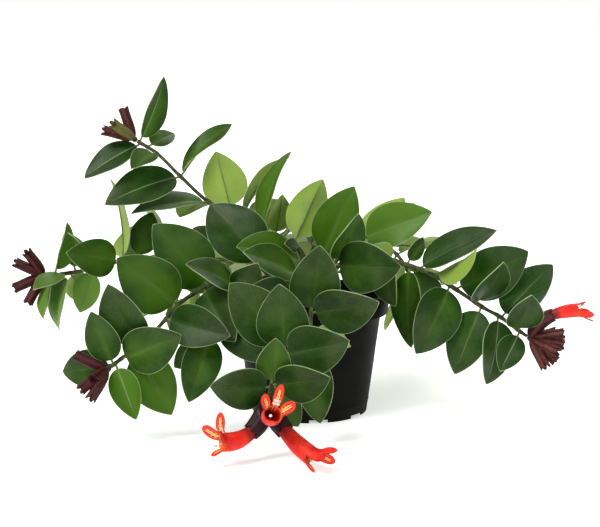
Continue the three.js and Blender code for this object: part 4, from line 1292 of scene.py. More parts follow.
@dataclass
class Shoot:
    """A stem with its leaves, read from its layout and the turns that its solid shows."""

    row: ShootRow
    seed: int
    solid: Piece
    leaves: list[Leaf] = field(default_factory=list)

    TURN_STEP = 9.0
    FOOT_RADIUS = 2.3
    TIP_RADIUS = 1.2
    NODE_SWELLING = 0.32  # of the stem's radius, at a leaf's node
    NODE_LENGTH = 2.4
    STEM_STEP = 1.6
    STEM_TAPER = 0.6
    PAIR_ANGLE, PAIR_ANGLE_VARIES = 58, 8  # off the stem
    LEVEL_PAIR, UPRIGHT_PAIR = (1, 0.15), (0.55, 0.8)  # how far they stand aside and up
    FACE_OUT = 0.7  # how far the blades of pairs face outwards
    TIP_LOSS = 0.3  # of a leaf's size, over the length of its shoot
    SIZE_VARIES = 0.08
    TONE_VARIES = 0.8
    DEFAULTS = {"width_ratio": 0.67, "bend": 22.0, "fold": 12.0, "twist": 0.0}
    VARIED = {"width_ratio": 0.05, "bend": 8.0, "fold": 4.0, "twist": 6.0}

    def __post_init__(self) -> None:
        """Find the shoot's line and its leaves."""
        self.line = CentreLine(self.row.hole, self.row.path)
        self.draw = SeededDraws(self.seed)
        self.nodes: list[float] = []
        self.find_leaves()

    @property
    def node_name(self) -> str:
        """The solid's name."""
        return f"shoot_{self.row.name}"

    def stated_poses(self) -> list[tuple[LeafRow, Vector, Vector]]:
        """Return the leaves of the layout with their directions and upper faces."""
        poses = []
        for leaf in self.row.leaves:
            direction = aimed(leaf.aim, leaf.out)
            face = turn_about(across(direction, FRONT), direction, leaf.roll)
            poses.append((leaf, direction, face))
        return poses

    def paired_poses(self) -> list[tuple[LeafRow, Vector, Vector]]:
        """Return crossed pairs by rule: every second pair stands a quarter turn round the stem."""
        rule, poses = self.row.pairs, []
        last = len(self.row.path) - 1
        at, pair = rule.start, 0
        while at <= last:
            tangent = self.line.tangent(self.line.share(at))
            side = tangent.cross(UP).normalized()
            lift = side.cross(tangent)
            upright = pair % 2 == 1
            aside, up = self.UPRIGHT_PAIR if upright else self.LEVEL_PAIR
            for hand in (1, -1):
                spread = radians(self.PAIR_ANGLE + self.PAIR_ANGLE_VARIES * self.draw())
                outwards = side * (aside * hand)
                outwards = (outwards + lift * (up * hand if upright else up)).normalized()
                direction = (tangent * cos(spread) + outwards * sin(spread)).normalized()
                outside = Vector((tangent.x, tangent.y, 0))
                face = across(direction, UP + outside * self.FACE_OUT)
                young = 1 - self.TIP_LOSS * (at / last) ** 3
                size = rule.size * young * (1 + self.SIZE_VARIES * self.draw())
                poses.append((LeafRow(at, 0, 0, 0, size), direction, face))
            at += rule.spacing
            pair += 1
        return poses

    def find_leaves(self) -> None:
        """Keep each leaf with the first turn that its solid shows, and leave out the others."""
        vertices = self.solid.data.vertices
        solid = KDTree(len(vertices))
        for index, vertex in enumerate(vertices):
            solid.insert(vertex.co / MM, index)
        solid.balance()
        poses = self.paired_poses() if self.row.pairs else self.stated_poses()
        for row, direction, face in poses:
            form = {name: base + self.VARIED[name] * self.draw()
                    for name, base in self.DEFAULTS.items()}
            form |= {name: value for name in form if (value := getattr(row, name)) is not None}
            base = self.line.point(self.line.share(row.at))
            for turn in leaf_turns():
                leaf = Leaf(base, *self.turned(direction, face, turn), row.size, **form)
                if leaf.found_in(solid):
                    leaf.tone, leaf.vein = self.draw_tone(row), row.vein
                    self.leaves.append(leaf)
                    self.nodes.append(row.at)
                    break
        LOG.info("%s: %d of %d leaves stand in the solid",
                 self.node_name, len(self.leaves), len(poses))

    def draw_tone(self, row: LeafRow) -> float:
        """Return a leaf's tone, as stated or drawn."""
        if row.tone is not None:
            return row.tone
        return self.TONE_VARIES * SeededDraws(int(row.at * 100 + row.size * 7))()

    def turned(self, direction: Vector, face: Vector,
               turn: tuple[int, int, int]) -> tuple[Vector, Vector]:
        """Return a leaf's axes after it swings, sways and rolls by whole steps."""
        swing, sway, roll = (steps * self.TURN_STEP for steps in turn)
        side = face.cross(direction).normalized()
        heading = turn_about(turn_about(direction, side, swing), face, sway)
        upper = across(heading, turn_about(face, side, swing))
        return heading, turn_about(upper, heading, roll)

    def leaf_points(self) -> Mesh:
        """Return a point for each leaf, with the values that the node trees read."""
        mesh = mesh_of("leaf_points", [leaf.base for leaf in self.leaves])
        for name in ("direction", "face", "tone", "vein"):
            set_values(mesh, name, [getattr(leaf, name) for leaf in self.leaves])
        for name in ("bend", "fold", "twist"):
            set_values(mesh, name, [radians(getattr(leaf, name)) for leaf in self.leaves])
        for name, value in (("base", "base"), ("length", "size"), ("half_width", "half_width")):
            set_values(mesh, name, [getattr(leaf, value) * MM for leaf in self.leaves])
        set_values(mesh, "petiole", [leaf.PETIOLE / leaf.size for leaf in self.leaves])
        set_values(mesh, "seed", range(len(self.leaves)))
        return mesh

    def stem_line(self) -> Mesh:
        """Return the stem's line, with its radius and tone, swollen at the leaves' nodes."""
        length = sum((self.line.points[i + 1] - self.line.points[i]).length
                     for i in range(self.line.last))
        count = int(length / self.STEM_STEP)
        shares = [i / (count - 1) for i in range(count)]
        points = [self.line.point(share) for share in shares]
        knots = [self.line.point(self.line.share(at)) for at in self.nodes]
        girths = []
        for share, point in zip(shares, points):
            nearest = min(((point - knot).length for knot in knots), default=inf)
            swelling = self.NODE_SWELLING * exp(-((nearest / self.NODE_LENGTH) ** 2))
            thinning = (self.TIP_RADIUS - self.FOOT_RADIUS) * share ** self.STEM_TAPER
            radius = self.FOOT_RADIUS + thinning
            girths.append(radius * (1 + swelling))
        edges = [(i, i + 1) for i in range(count - 1)]
        return thread_mesh("stem_line", points, edges, girths, shares)


@dataclass
class Foliage:
    """Dresses shoots with blades, stalks with midribs, and stems."""

    finish: LeafFinish = LeafFinish()
    stalks: StalkFinish = StalkFinish()
    blade_rows: int = 33
    blade_columns: int = 19
    rib_steps: int = 22
    rib_sides: int = 8
    stem_sides: int = 12
    thickness: float = 0.6

    def __post_init__(self) -> None:
        """Write the node trees and the materials."""
        self.blades, self.ribs, self.stems = BladeShaper(), RibShaper(), StemShaper()
        self.upper, self.under, self.margin = (
            self.finish.upper(), self.finish.under(), self.finish.margin())
        self.stem_coat, self.rib_coat = self.stalks.stem(), self.stalks.rib()

    def dress(self, shoot: Shoot) -> None:
        """Make a shoot's pieces and let them stand for its solid."""
        name = shoot.row.name
        blades = self.blades.shape(f"leaves_{name}", shoot.leaf_points(), {
            "Rows": self.blade_rows, "Columns": self.blade_columns, "Camber": 0.045,
            "Wave": 0.45 * MM, "Foot half-width": 0.9 * MM, "Tip half-width": 0.15 * MM,
            "Finish": self.upper,
        })
        for coat in (self.under, self.margin):
            blades.data.materials.append(coat)
        wall = blades.modifiers.new("thickness", "SOLIDIFY")
        wall.thickness = self.thickness * MM
        wall.offset = 0.0
        wall.material_offset, wall.material_offset_rim = 1, 2
        settle(blades)
        soften(blades, 50.0)
        ribs = self.ribs.shape(f"stalks_{name}", shoot.leaf_points(), {
            "Steps": self.rib_steps, "Sides": self.rib_sides, "Stalk radius": 1.05 * MM,
            "Rib radius": 0.52 * MM, "End radius": 0.16 * MM, "Depth": 0.62 * MM,
            "Reach": 0.9, "Finish": self.rib_coat,
        })
        stem = self.stems.shape(
            f"stem_{name}", shoot.stem_line(), {"Sides": self.stem_sides, "Finish": self.stem_coat})
        for piece in (blades, ribs, stem):
            hand_over(piece, Slot.FOLIAGE, [shoot.node_name])


# Flowers.


@dataclass(frozen=True)
class CalyxForm:
    """Sizes of a calyx, in millimetres."""

    length: float = 26.0
    radius: float = 3.9
    wall: float = 0.7
    tooth: float = 2.2
    tooth_flare: float = 0.7
    cup_depth: float = 6.0
    sides: int = 60
    rows: int = 18
    inner_rows: int = 6

    TEETH = 5
    TOOTH_ROUNDNESS = 2.4
    TOOTH_HEIGHT, NOTCH_DEPTH = 1.4, 0.8  # over a tooth's length
    TEETH_FROM, TEETH_OVER, TEETH_POWER = 0.8, 0.2, 1.2  # how they grow, in shares of the wall
    RIB, GROOVE, GROOVE_WIDTH = 0.03, 0.05, 0.2  # of the radius, and of half a tooth
    SHARES = (0.0, 0.04, 0.10, 0.20, 0.32, 0.50, 0.78, 1.0)
    WIDTHS = (0.26, 0.38, 0.62, 0.84, 0.96, 1.0, 0.98, 0.86)  # of the radius, at those shares
    RIBS_GROWTH = 1.8
    CUP_WIDTH, CUP_TAPER = 0.88, 0.24  # of the radius inside
    INNER_TEETH, INNER_TEETH_FADE, INNER_RIBS = 0.97, 4, 0.6


CLOSED_CALYX = CalyxForm()
OPEN_CALYX = CalyxForm(
    radius=6.8, wall=0.8, tooth=1.8, tooth_flare=0.2, cup_depth=16.0, inner_rows=10)


@dataclass(frozen=True)
class Lobe:
    """A lobe of the corolla, by its angle round the mouth and how far it flares, in degrees."""

    round: float
    flare: float
    width: float
    length: float


@dataclass(frozen=True)
class CorollaForm:
    """Sizes of a corolla, in millimetres."""

    gap: float = 0.35
    foot_radius: float = 2.6
    collar_radius: float = 4.9
    throat_radius: float = 6.2
    throat_at: float = 0.55
    mouth_radius: float = 6.4
    wall: float = 0.8
    lobes: tuple[Lobe, ...] = (
        Lobe(0, 70, 6.4, 15.5), Lobe(62, 42, 8, 13.5), Lobe(180, 32, 7.2, 7.5),
        Lobe(298, 42, 8, 13.5),
    )
    root_width: float = 0.8  # of a lobe, over its greatest
    lobe_columns: int = 8
    lobe_rows: int = 10
    gap_step: float = 9.0  # degrees between columns of the rim where no lobe grows
    tube_rows: int = 18

    FLARED_BY, WIDE_BY, ROUND_FROM = 0.4, 0.35, 0.45  # shares of a lobe's length
    TIP_ROUNDNESS = 2.6
    ROOT_FLARE, MORE_FLARE, TWIST_GROWTH = 0.35, 0.8, 2.5
    CUP, CUP_FADE = 0.75, 1.5
    RUFFLE, RUFFLE_WAVES = 0.15, 8
    HELD_ROWS, HOLD_POWER = 3, 1.5  # the rows of a lobe that still follow the tube's rim

    def tube_radius(self, along: float, length: float) -> float:
        """Return the tube's outer radius at a length from the calyx's foot, gently rounded."""
        collar = OPEN_CALYX.length
        knots = (collar - OPEN_CALYX.cup_depth + self.gap, collar,
                 collar + length * self.throat_at, collar + length)
        radii = (self.foot_radius, self.collar_radius, self.throat_radius, self.mouth_radius)
        near = (along - 2.0, along, along + 2.0)
        return float(np.mean(np.interp(near, knots, radii)))

    def rim(self) -> tuple[list[float], list[int]]:
        """Return the angles of the tube's columns, and the first column of each lobe."""
        angles: list[float] = []
        firsts: list[int] = []
        for index, lobe in enumerate(self.lobes):
            half = self.half_root(lobe)
            middle = radians(lobe.round)
            firsts.append(len(angles))
            angles += [middle - half + 2 * half * c / self.lobe_columns
                       for c in range(self.lobe_columns + 1)]
            following = self.lobes[(index + 1) % len(self.lobes)]
            end = radians(following.round) - self.half_root(following)
            end += tau if index == len(self.lobes) - 1 else 0.0
            gap = end - angles[-1]
            steps = max(2, round(degrees(gap) / self.gap_step))
            start = angles[-1]
            angles += [start + gap * (c + 1) / steps for c in range(steps - 1)]
        return angles, firsts

    def half_root(self, lobe: Lobe) -> float:
        """Return half the angle round the rim that a lobe's root takes, in radians."""
        return self.root_width * lobe.width / 2 / self.throat_radius


@dataclass(frozen=True)
class StamenForm:
    """Stamens and style, in millimetres: places are from the middle of the corolla's mouth."""

    down_tube: float = 8.0  # where they start
    lean: float = 63.0  # degrees, on a lobe that is spread by 1
    pairs: tuple[Span, ...] = ((-1.2, 3.6), (-1.1, 5.8), (1.1, 5.8), (1.2, 3.6))  # aside, ahead
    foot_lift: float = 3.0  # towards the upper lobe, as the next two
    bow_lift: float = 3.4
    head_lift: float = 4.3
    foot_spread: float = 0.6  # over that at the mouth
    radius: float = 0.3
    anther: Span = (1.4, 0.55)  # half its length and width
    waist: Span = (0.22, 0.35)  # of a head: its depth and half its height, as shares
    anther_halves: Span = (-0.4, 0.4)
    style_radius: float = 0.42
    style_drop: float = 0.6  # of its middle
    tones: Span = (0.6, 1.0)  # of a stamen's and the style's end
    steps: int = 12
    sides: int = 6
    stigma: Span = (1.25, 1.15)
    stigma_place: Place = (4.2, 3.4, 2.2)  # ahead, down and aside


@dataclass(frozen=True)
class Station:
    """A place on a flower's centre line, with its heading and the axes across it."""

    centre: Vector
    onwards: Vector
    across: Vector
    lip: Vector

    def spot(self, angle: float, radius: float, ahead: float = 0.0,
             from_lip: bool = False) -> Vector:
        """Return a point round the line, by its angle from the first axis or from the lip."""
        first = self.lip if from_lip else self.across
        second = self.onwards.cross(first)
        return (self.centre + self.onwards * ahead +
                (first * cos(angle) + second * sin(angle)) * radius)


class FlowerLine:
    """The centre line of a flower, bent through its calyx and on through its corolla's tube."""

    def __init__(self, start: Vector, direction: Vector, pose: Pose) -> None:
        """Set the line's start, its direction there and the plane that it bends in."""
        self.start, self.direction, self.pose = start, direction, pose
        self.across = upright_across(direction)
        self.lip = turn_about(self.across, direction, pose.turn - 90)
        self.hinge = direction.cross(self.lip)
        self.collar, self.collar_turn = self.arc(start, 0.0, pose.curve, OPEN_CALYX.length,
                                                 OPEN_CALYX.length)

    def arc(self, start: Vector, turned: float, angle: float, span: float,
            along: float) -> tuple[Vector, float]:
        """Return the place and the turn so far, in degrees, at a length along an arc.

        Args:
            start: of the arc.
            turned: degrees that the line has turned there.
            angle: degrees that it turns over the arc.
            span: the arc's length.
            along: the length from its start.

        Returns:
            The place, and the degrees that the line has turned there.
        """
        heading = turn_about(self.direction, self.hinge, turned)
        if abs(angle) < 0.01:
            return start + heading * along, turned
        aside = turn_about(self.lip, self.hinge, turned)
        radius, swept = span / radians(angle), radians(angle) * along / span
        place = start + heading * radius * sin(swept) + aside * radius * (1 - cos(swept))
        return place, turned + degrees(swept)

    def station(self, along: float) -> Station:
        """Return the line's place and axes at a length from the calyx's foot."""
        beyond = along - OPEN_CALYX.length
        if beyond > 0:
            centre, turned = self.arc(self.collar, self.collar_turn, self.pose.bend,
                                      self.pose.length, beyond)
        else:
            centre, turned = self.arc(self.start, 0.0, self.pose.curve, OPEN_CALYX.length, along)
        axes = (turn_about(axis, self.hinge, turned)
                for axis in (self.direction, self.across, self.lip))
        return Station(centre, *axes)


Row = list[tuple[Vector, Vector]]


class Sheet:
    """A mesh in the making: points in millimetres with stored places, and faces."""

    def __init__(self) -> None:
        """Start empty."""
        self.points: list[Vector] = []
        self.places: list[Vector] = []
        self.faces: list[tuple[int, ...]] = []

    def grid(self, rows: Sequence[Row], closed: bool) -> None:
        """Add rows of (point, stored place), joined into a band that may close round."""
        start, count = len(self.points), len(rows[0])
        for row in rows:
            for point, place in row:
                self.points.append(point)
                self.places.append(place)
        for r in range(len(rows) - 1):
            for c in range(count if closed else count - 1):
                a, b = start + r * count + c, start + r * count + (c + 1) % count
                self.faces.append((a, b, b + count, a + count))

    def tube(self, rows: list[Row], head: bool = True) -> None:
        """Add rings, closed by their middles at the foot and, where asked, at the head."""
        heads = [self.middle(rows[-1])] if head else []
        self.grid([self.middle(rows[0]), *rows, *heads], closed=True)

    @staticmethod
    def middle(row: Row) -> Row:
        """Return a ring that is drawn together at its middle."""
        centre = sum((point for point, _ in row), Vector()) / len(row)
        return [(centre, place) for _, place in row]

    def mesh(self, name: str) -> Mesh:
        """Return the mesh, with points that touch merged."""
        mesh = mesh_of(name, self.points, self.faces)
        set_values(mesh, "surface_place", self.places)
        fuse_doubles(mesh, 0.01)
        return mesh


@dataclass
class Bunch:
    """The calyces and corollas at a shoot's tip, on their short common stalk."""

    shoot: Shoot
    corolla_form: CorollaForm = CorollaForm()

    GAP = 0.3
    KNOB_LENGTH = 4.5
    KNOB = ((0, 1.1), (0.8, 1.7), (1.8, 2.3), (3.2, 2.2), (4.3, 1.5))  # lengths and radii
    KNOB_SIDES = 16
    KNOB_PLACE = Vector((0, 1, 0.9))  # for its finish: brown, and away from any tooth
    FLOWERS_AT = 0.55

    def __post_init__(self) -> None:
        """Find the bunch's centre on its stalk."""
        self.tip = self.shoot.line.point(1.0)
        self.tangent = self.shoot.line.tangent(1.0)
        reach = self.GAP + self.KNOB_LENGTH * self.FLOWERS_AT
        self.centre = self.tip + self.tangent * reach

    def knob_rows(self) -> list[Row]:
        """Return the rings of the short common stalk."""
        axis = upright_across(self.tangent)
        station = Station(self.tip, self.tangent, axis, axis)
        angles = [k * tau / self.KNOB_SIDES for k in range(self.KNOB_SIDES)]
        return [[(station.spot(a, radius, self.GAP + along), self.KNOB_PLACE) for a in angles]
                for along, radius in self.KNOB]

    @staticmethod
    def calyx_rows(line: FlowerLine, form: CalyxForm, hue: float) -> list[Row]:
        """Return the rings of a calyx: up its outside, over its five teeth and down its cup.

        Args:
            line: the flower's centre line.
            form: the calyx's sizes.
            hue: stored with the place on the calyx, for its finish.

        Returns:
            The rings, from its foot to the floor of its cup.
        """
        rows: list[Row] = []

        def ring(share: float, radius: float, tooth: float, ribbed: float) -> None:
            """Add a ring at a share of the length, with teeth and ribs of a strength."""
            row: Row = []
            station = line.station(form.length * share)
            for k in range(form.sides):
                angle = k * tau / form.sides
                tooth_share = angle * form.TEETH / tau
                from_tooth = abs((tooth_share + 0.5) % 1.0 - 0.5) * 2  # 1 between teeth
                rising = 1 - from_tooth ** form.TOOTH_ROUNDNESS
                rib = form.RIB * cos(form.TEETH * angle)
                rib -= form.GROOVE * exp(-(((1 - from_tooth) / form.GROOVE_WIDTH) ** 2))
                width = radius * (1 + ribbed * rib) + form.tooth_flare * tooth * rising
                ahead = tooth * form.tooth * (rising * form.TOOTH_HEIGHT - form.NOTCH_DEPTH)
                row.append((station.spot(angle, width, ahead), Vector((share, from_tooth, hue))))
            rows.append(row)

        rim = 1 - form.tooth / form.length
        outer = form.radius * line.pose.girth
        for i in range(form.rows):
            t = i / (form.rows - 1)
            radius = outer * float(np.interp(t, form.SHARES, form.WIDTHS))
            tooth = max(0.0, (t - form.TEETH_FROM) / form.TEETH_OVER) ** form.TEETH_POWER
            ring(rim * t, radius, tooth, min(1.0, t * form.RIBS_GROWTH))
        inner = outer - form.wall
        for i in range(form.inner_rows + 1):
            t = i / form.inner_rows
            share = rim - (form.cup_depth - form.tooth) / form.length * t
            tooth = form.INNER_TEETH * max(0.0, 1 - t * form.INNER_TEETH_FADE)
            ring(share, inner * (form.CUP_WIDTH - form.CUP_TAPER * t), tooth, form.INNER_RIBS)
        return rows

    def corolla_sheet(self, line: FlowerLine) -> Sheet:
        """Return a corolla's outer surface.

        Args:
            line: the flower's centre line.

        Returns:
            The tube, open at its mouth, with its lobes.
        """
        form, pose = self.corolla_form, line.pose
        angles, firsts = form.rim()
        foot = OPEN_CALYX.length - OPEN_CALYX.cup_depth + form.gap
        end = OPEN_CALYX.length + pose.length
        rows: list[Row] = []
        for i in range(form.tube_rows + 1):
            along = foot + (end - foot) * i / form.tube_rows
            station = line.station(along)
            radius = form.tube_radius(along, pose.length) * pose.girth
            place = Vector(((along - end) / pose.length, 0, 0))
            rows.append([(station.spot(a, radius, from_lip=True), place) for a in angles])
        sheet = Sheet()
        sheet.tube(rows, head=False)
        for lobe, first in zip(form.lobes, firsts):
            root = [point for point, _ in rows[-1][first:first + form.lobe_columns + 1]]
            sheet.grid(self.lobe_rows(lobe, root, line.station(end), pose), closed=False)
        return sheet

    def lobe_rows(self, lobe: Lobe, root: Sequence[Vector], mouth: Station,
                  pose: Pose) -> list[Row]:
        """Return the rows of a rounded, cupped lobe that grows from the tube's rim.

        Args:
            lobe: its form.
            root: the rim's points that it grows from.
            mouth: the place and axes of the tube's mouth.
            pose: of the flower.

        Returns:
            The rows, from the rim to the tip.
        """
        form = self.corolla_form
        middle = radians(lobe.round)
        outwards = mouth.lip * cos(middle) + mouth.onwards.cross(mouth.lip) * sin(middle)
        level = mouth.onwards.cross(outwards)
        half = lobe.width / 2 * pose.girth
        place = mouth.centre + outwards * form.throat_radius * pose.girth
        step = lobe.length * pose.girth / form.lobe_rows
        rows: list[Row] = []
        for r in range(form.lobe_rows + 1):
            t = r / form.lobe_rows
            rise = min(1.0, t / form.FLARED_BY)
            flare = radians(lobe.flare * pose.spread)
            flare *= form.ROOT_FLARE + form.MORE_FLARE * rise * rise * (3 - 2 * rise)
            along = mouth.onwards * cos(flare) + outwards * sin(flare)
            inwards = mouth.onwards * sin(flare) - outwards * cos(flare)
            turn = pose.twist * min(1.0, form.TWIST_GROWTH * t) if lobe.round == 0 else 0.0
            aside, inwards = (turn_about(axis, along, turn) for axis in (level, inwards))
            widening = form.root_width + (1 - form.root_width) * min(1.0, t / form.WIDE_BY)
            narrowing = max(0.0, t - form.ROUND_FROM) / (1 - form.ROUND_FROM)
            rounding = sqrt(max(0.02, 1 - narrowing ** form.TIP_ROUNDNESS))
            row: Row = []
            for c, rim_point in enumerate(root):
                s = 2 * c / form.lobe_columns - 1
                ruffle = form.RUFFLE * sin(form.RUFFLE_WAVES * t + 2 * lobe.round)
                cup = (form.CUP * (1 - form.CUP_FADE * t) + ruffle) * s * s
                free = place + aside * (s * half * widening * rounding) + inwards * cup
                hold = max(0.0, 1 - r / form.HELD_ROWS) ** form.HOLD_POWER
                row.append((free.lerp(rim_point, hold), Vector((t, s, 1))))
            rows.append(row)
            place = place + along * step
        return rows


@dataclass
class Flowers:
    """Dresses bunches with calyces, corollas, stamens, styles and hairs."""

    calyx_finish: CalyxFinish = CalyxFinish()
    corolla_finish: CorollaFinish = CorollaFinish()
    stamens: StamenForm = StamenForm()
    stems: StemShaper = field(default_factory=StemShaper)
    hair_density: float = 1.1e6  # to a square metre
    hair_seed: int = 3
    flower_seed: int = 50  # past the shoot's own
    closed_curve: float = 9.0  # degrees that a closed calyx bends at most

    def __post_init__(self) -> None:
        """Make the materials and the hairs' node tree."""
        self.calyx_coat = self.calyx_finish.material()
        finish = self.corolla_finish
        self.outside, self.inside = finish.outside(), finish.inside()
        self.filament_coat, self.anther_coat, self.hair_coat = (
            finish.filament(), finish.anther(), finish.hair())
        self.hairs = Scatter("corolla_hairs", hair_shape)

    def dress(self, shoot: Shoot) -> None:
        """Make the pieces of a shoot's bunch and let them stand for its solids."""
        bunch, name = Bunch(shoot), shoot.row.name
        draw = SeededDraws(shoot.seed + self.flower_seed)
        sheet = Sheet()
        sheet.tube(bunch.knob_rows())
        opened = 0
        for flower in shoot.row.flowers:
            form = OPEN_CALYX if flower.open else CLOSED_CALYX
            pose = flower.open or Pose(turn=180 * draw(), curve=self.closed_curve * draw())
            line = FlowerLine(bunch.centre, aimed(flower.aim, flower.out), pose)
            sheet.tube(bunch.calyx_rows(line, form, flower.hue))
            if flower.open:
                opened += 1
                self.open_flower(bunch, line, f"{name}_{opened}")
        calyces = link(f"calyx_bunch_{name}", sheet.mesh("calyx_bunch"), self.calyx_coat)
        soften(calyces, 60.0)
        hand_over(calyces, Slot.CALYX, [f"calyces_{name}"])

    def open_flower(self, bunch: Bunch, line: FlowerLine, name: str) -> None:
        """Make a corolla with its hairs, stamens and style.

        Args:
            bunch: that it belongs to.
            line: the flower's centre line.
            name: of the flower, as in its solid's name.
        """
        petals = link(f"petals_{name}", bunch.corolla_sheet(line).mesh("petals"),
                      self.outside, self.inside)
        wall = petals.modifiers.new("thickness", "SOLIDIFY")
        wall.thickness, wall.offset = bunch.corolla_form.wall * MM, -1.0
        wall.material_offset = 1
        smooth = petals.modifiers.new("smooth", "SUBSURF")
        smooth.levels = smooth.render_levels = 1
        settle(petals)
        soften(petals)
        hand_over(petals, Slot.COROLLA, [f"corolla_{name}"])
        self.add_stamens(line, name)
        hairs = self.hairs.shape(f"petal_hairs_{name}", petals.data.copy(), {
            "Density": self.hair_density, "Seed": self.hair_seed, "Least size": 0.45 * MM,
            "Most size": 0.85 * MM, "Tilt": 0.4, "Finish": self.hair_coat,
        })
        hand_over(hairs, Slot.COROLLA)

    def add_stamens(self, line: FlowerLine, name: str) -> None:
        """Make four stamens along the upper lobe, and the style with its round stigma.

        Args:
            line: the flower's centre line.
            name: of the flower.
        """
        form, pose = self.stamens, line.pose
        end = OPEN_CALYX.length + pose.length
        inside, mouth = line.station(end - form.down_tube), line.station(end)
        side = mouth.onwards.cross(mouth.lip)
        lean = radians(form.lean * pose.spread)
        along_lobe = mouth.onwards * cos(lean) + mouth.lip * sin(lean)
        above = mouth.onwards * sin(lean) - mouth.lip * cos(lean)
        threads, heads = [], []
        for spread, reach in form.pairs:
            aside = side * spread * pose.girth
            head = (mouth.centre + mouth.lip * (form.head_lift * pose.girth) +
                    along_lobe * reach + above + aside)
            foot = (inside.centre + inside.lip * (form.foot_lift * pose.girth) +
                    aside * form.foot_spread)
            bow = mouth.centre + mouth.lip * (form.bow_lift * pose.girth) + aside
            threads.append((foot, bow, head, form.radius, form.tones[0]))
            heads += [(head + along_lobe * half, side, *form.anther) for half in form.anther_halves]
        ahead, down, beside = form.stigma_place
        stigma = mouth.centre + mouth.onwards * ahead - mouth.lip * down + side * beside
        bow = mouth.centre - mouth.lip * form.style_drop
        threads.append((inside.centre, bow, stigma, form.style_radius, form.tones[1]))
        heads.append((stigma, mouth.onwards, *form.stigma))
        self.add_threads(threads, name)
        self.add_heads(heads, name)

    def add_heads(self, heads: Sequence[tuple[Vector, Vector, float, float]], name: str) -> None:
        """Make the anthers and the stigma.

        Args:
            heads: the place, axis, half length and half width of each.
            name: of the flower.
        """
        shape = bmesh.new()
        depth, height = self.stamens.waist
        for place, axis, long, wide in heads:
            turned = axis.to_track_quat("Z", "Y").to_matrix().to_4x4()
            made = bmesh.ops.create_icosphere(shape, subdivisions=2, radius=MM)
            for vertex in made["verts"]:
                x, y, z = vertex.co
                dent = 1 - depth * exp(-((z / MM / height) ** 2))
                vertex.co = turned @ Vector((x * wide * dent, y * wide * dent, z * long))
                vertex.co += place * MM
        anthers = link(f"anthers_{name}", mesh_from(shape, "anthers"), self.anther_coat)
        soften(anthers)
        hand_over(anthers, Slot.COROLLA)

    def add_threads(self, lines: Sequence[tuple[Vector, Vector, Vector, float, float]],
                    name: str) -> None:
        """Make the filaments and the style.

        Args:
            lines: the start, bow, end, radius and last tone of each.
            name: of the flower.
        """
        points, edges, girths, tones = [], [], [], []
        form = self.stamens
        for start, bow, end, radius, tone in lines:
            for k in range(form.steps + 1):
                t = k / form.steps
                point = start * (1 - t) ** 2 + bow * (2 * t * (1 - t)) + end * t * t
                if k:
                    edges.append((len(points) - 1, len(points)))
                points.append(point)
                girths.append(radius)
                tones.append(tone * t)
        mesh = thread_mesh("threads", points, edges, girths, tones)
        threads = self.stems.shape(
            f"filaments_{name}", mesh, {"Sides": form.sides, "Finish": self.filament_coat})
        hand_over(threads, Slot.COROLLA)


# Pot and soil.


def level_ring(radius: float, height: float, count: int) -> Row:
    """Return a level ring of points about the pot's axis."""
    angles = (k * tau / count for k in range(count))
    return [(Vector((radius * cos(a), radius * sin(a), height)), Vector()) for a in angles]


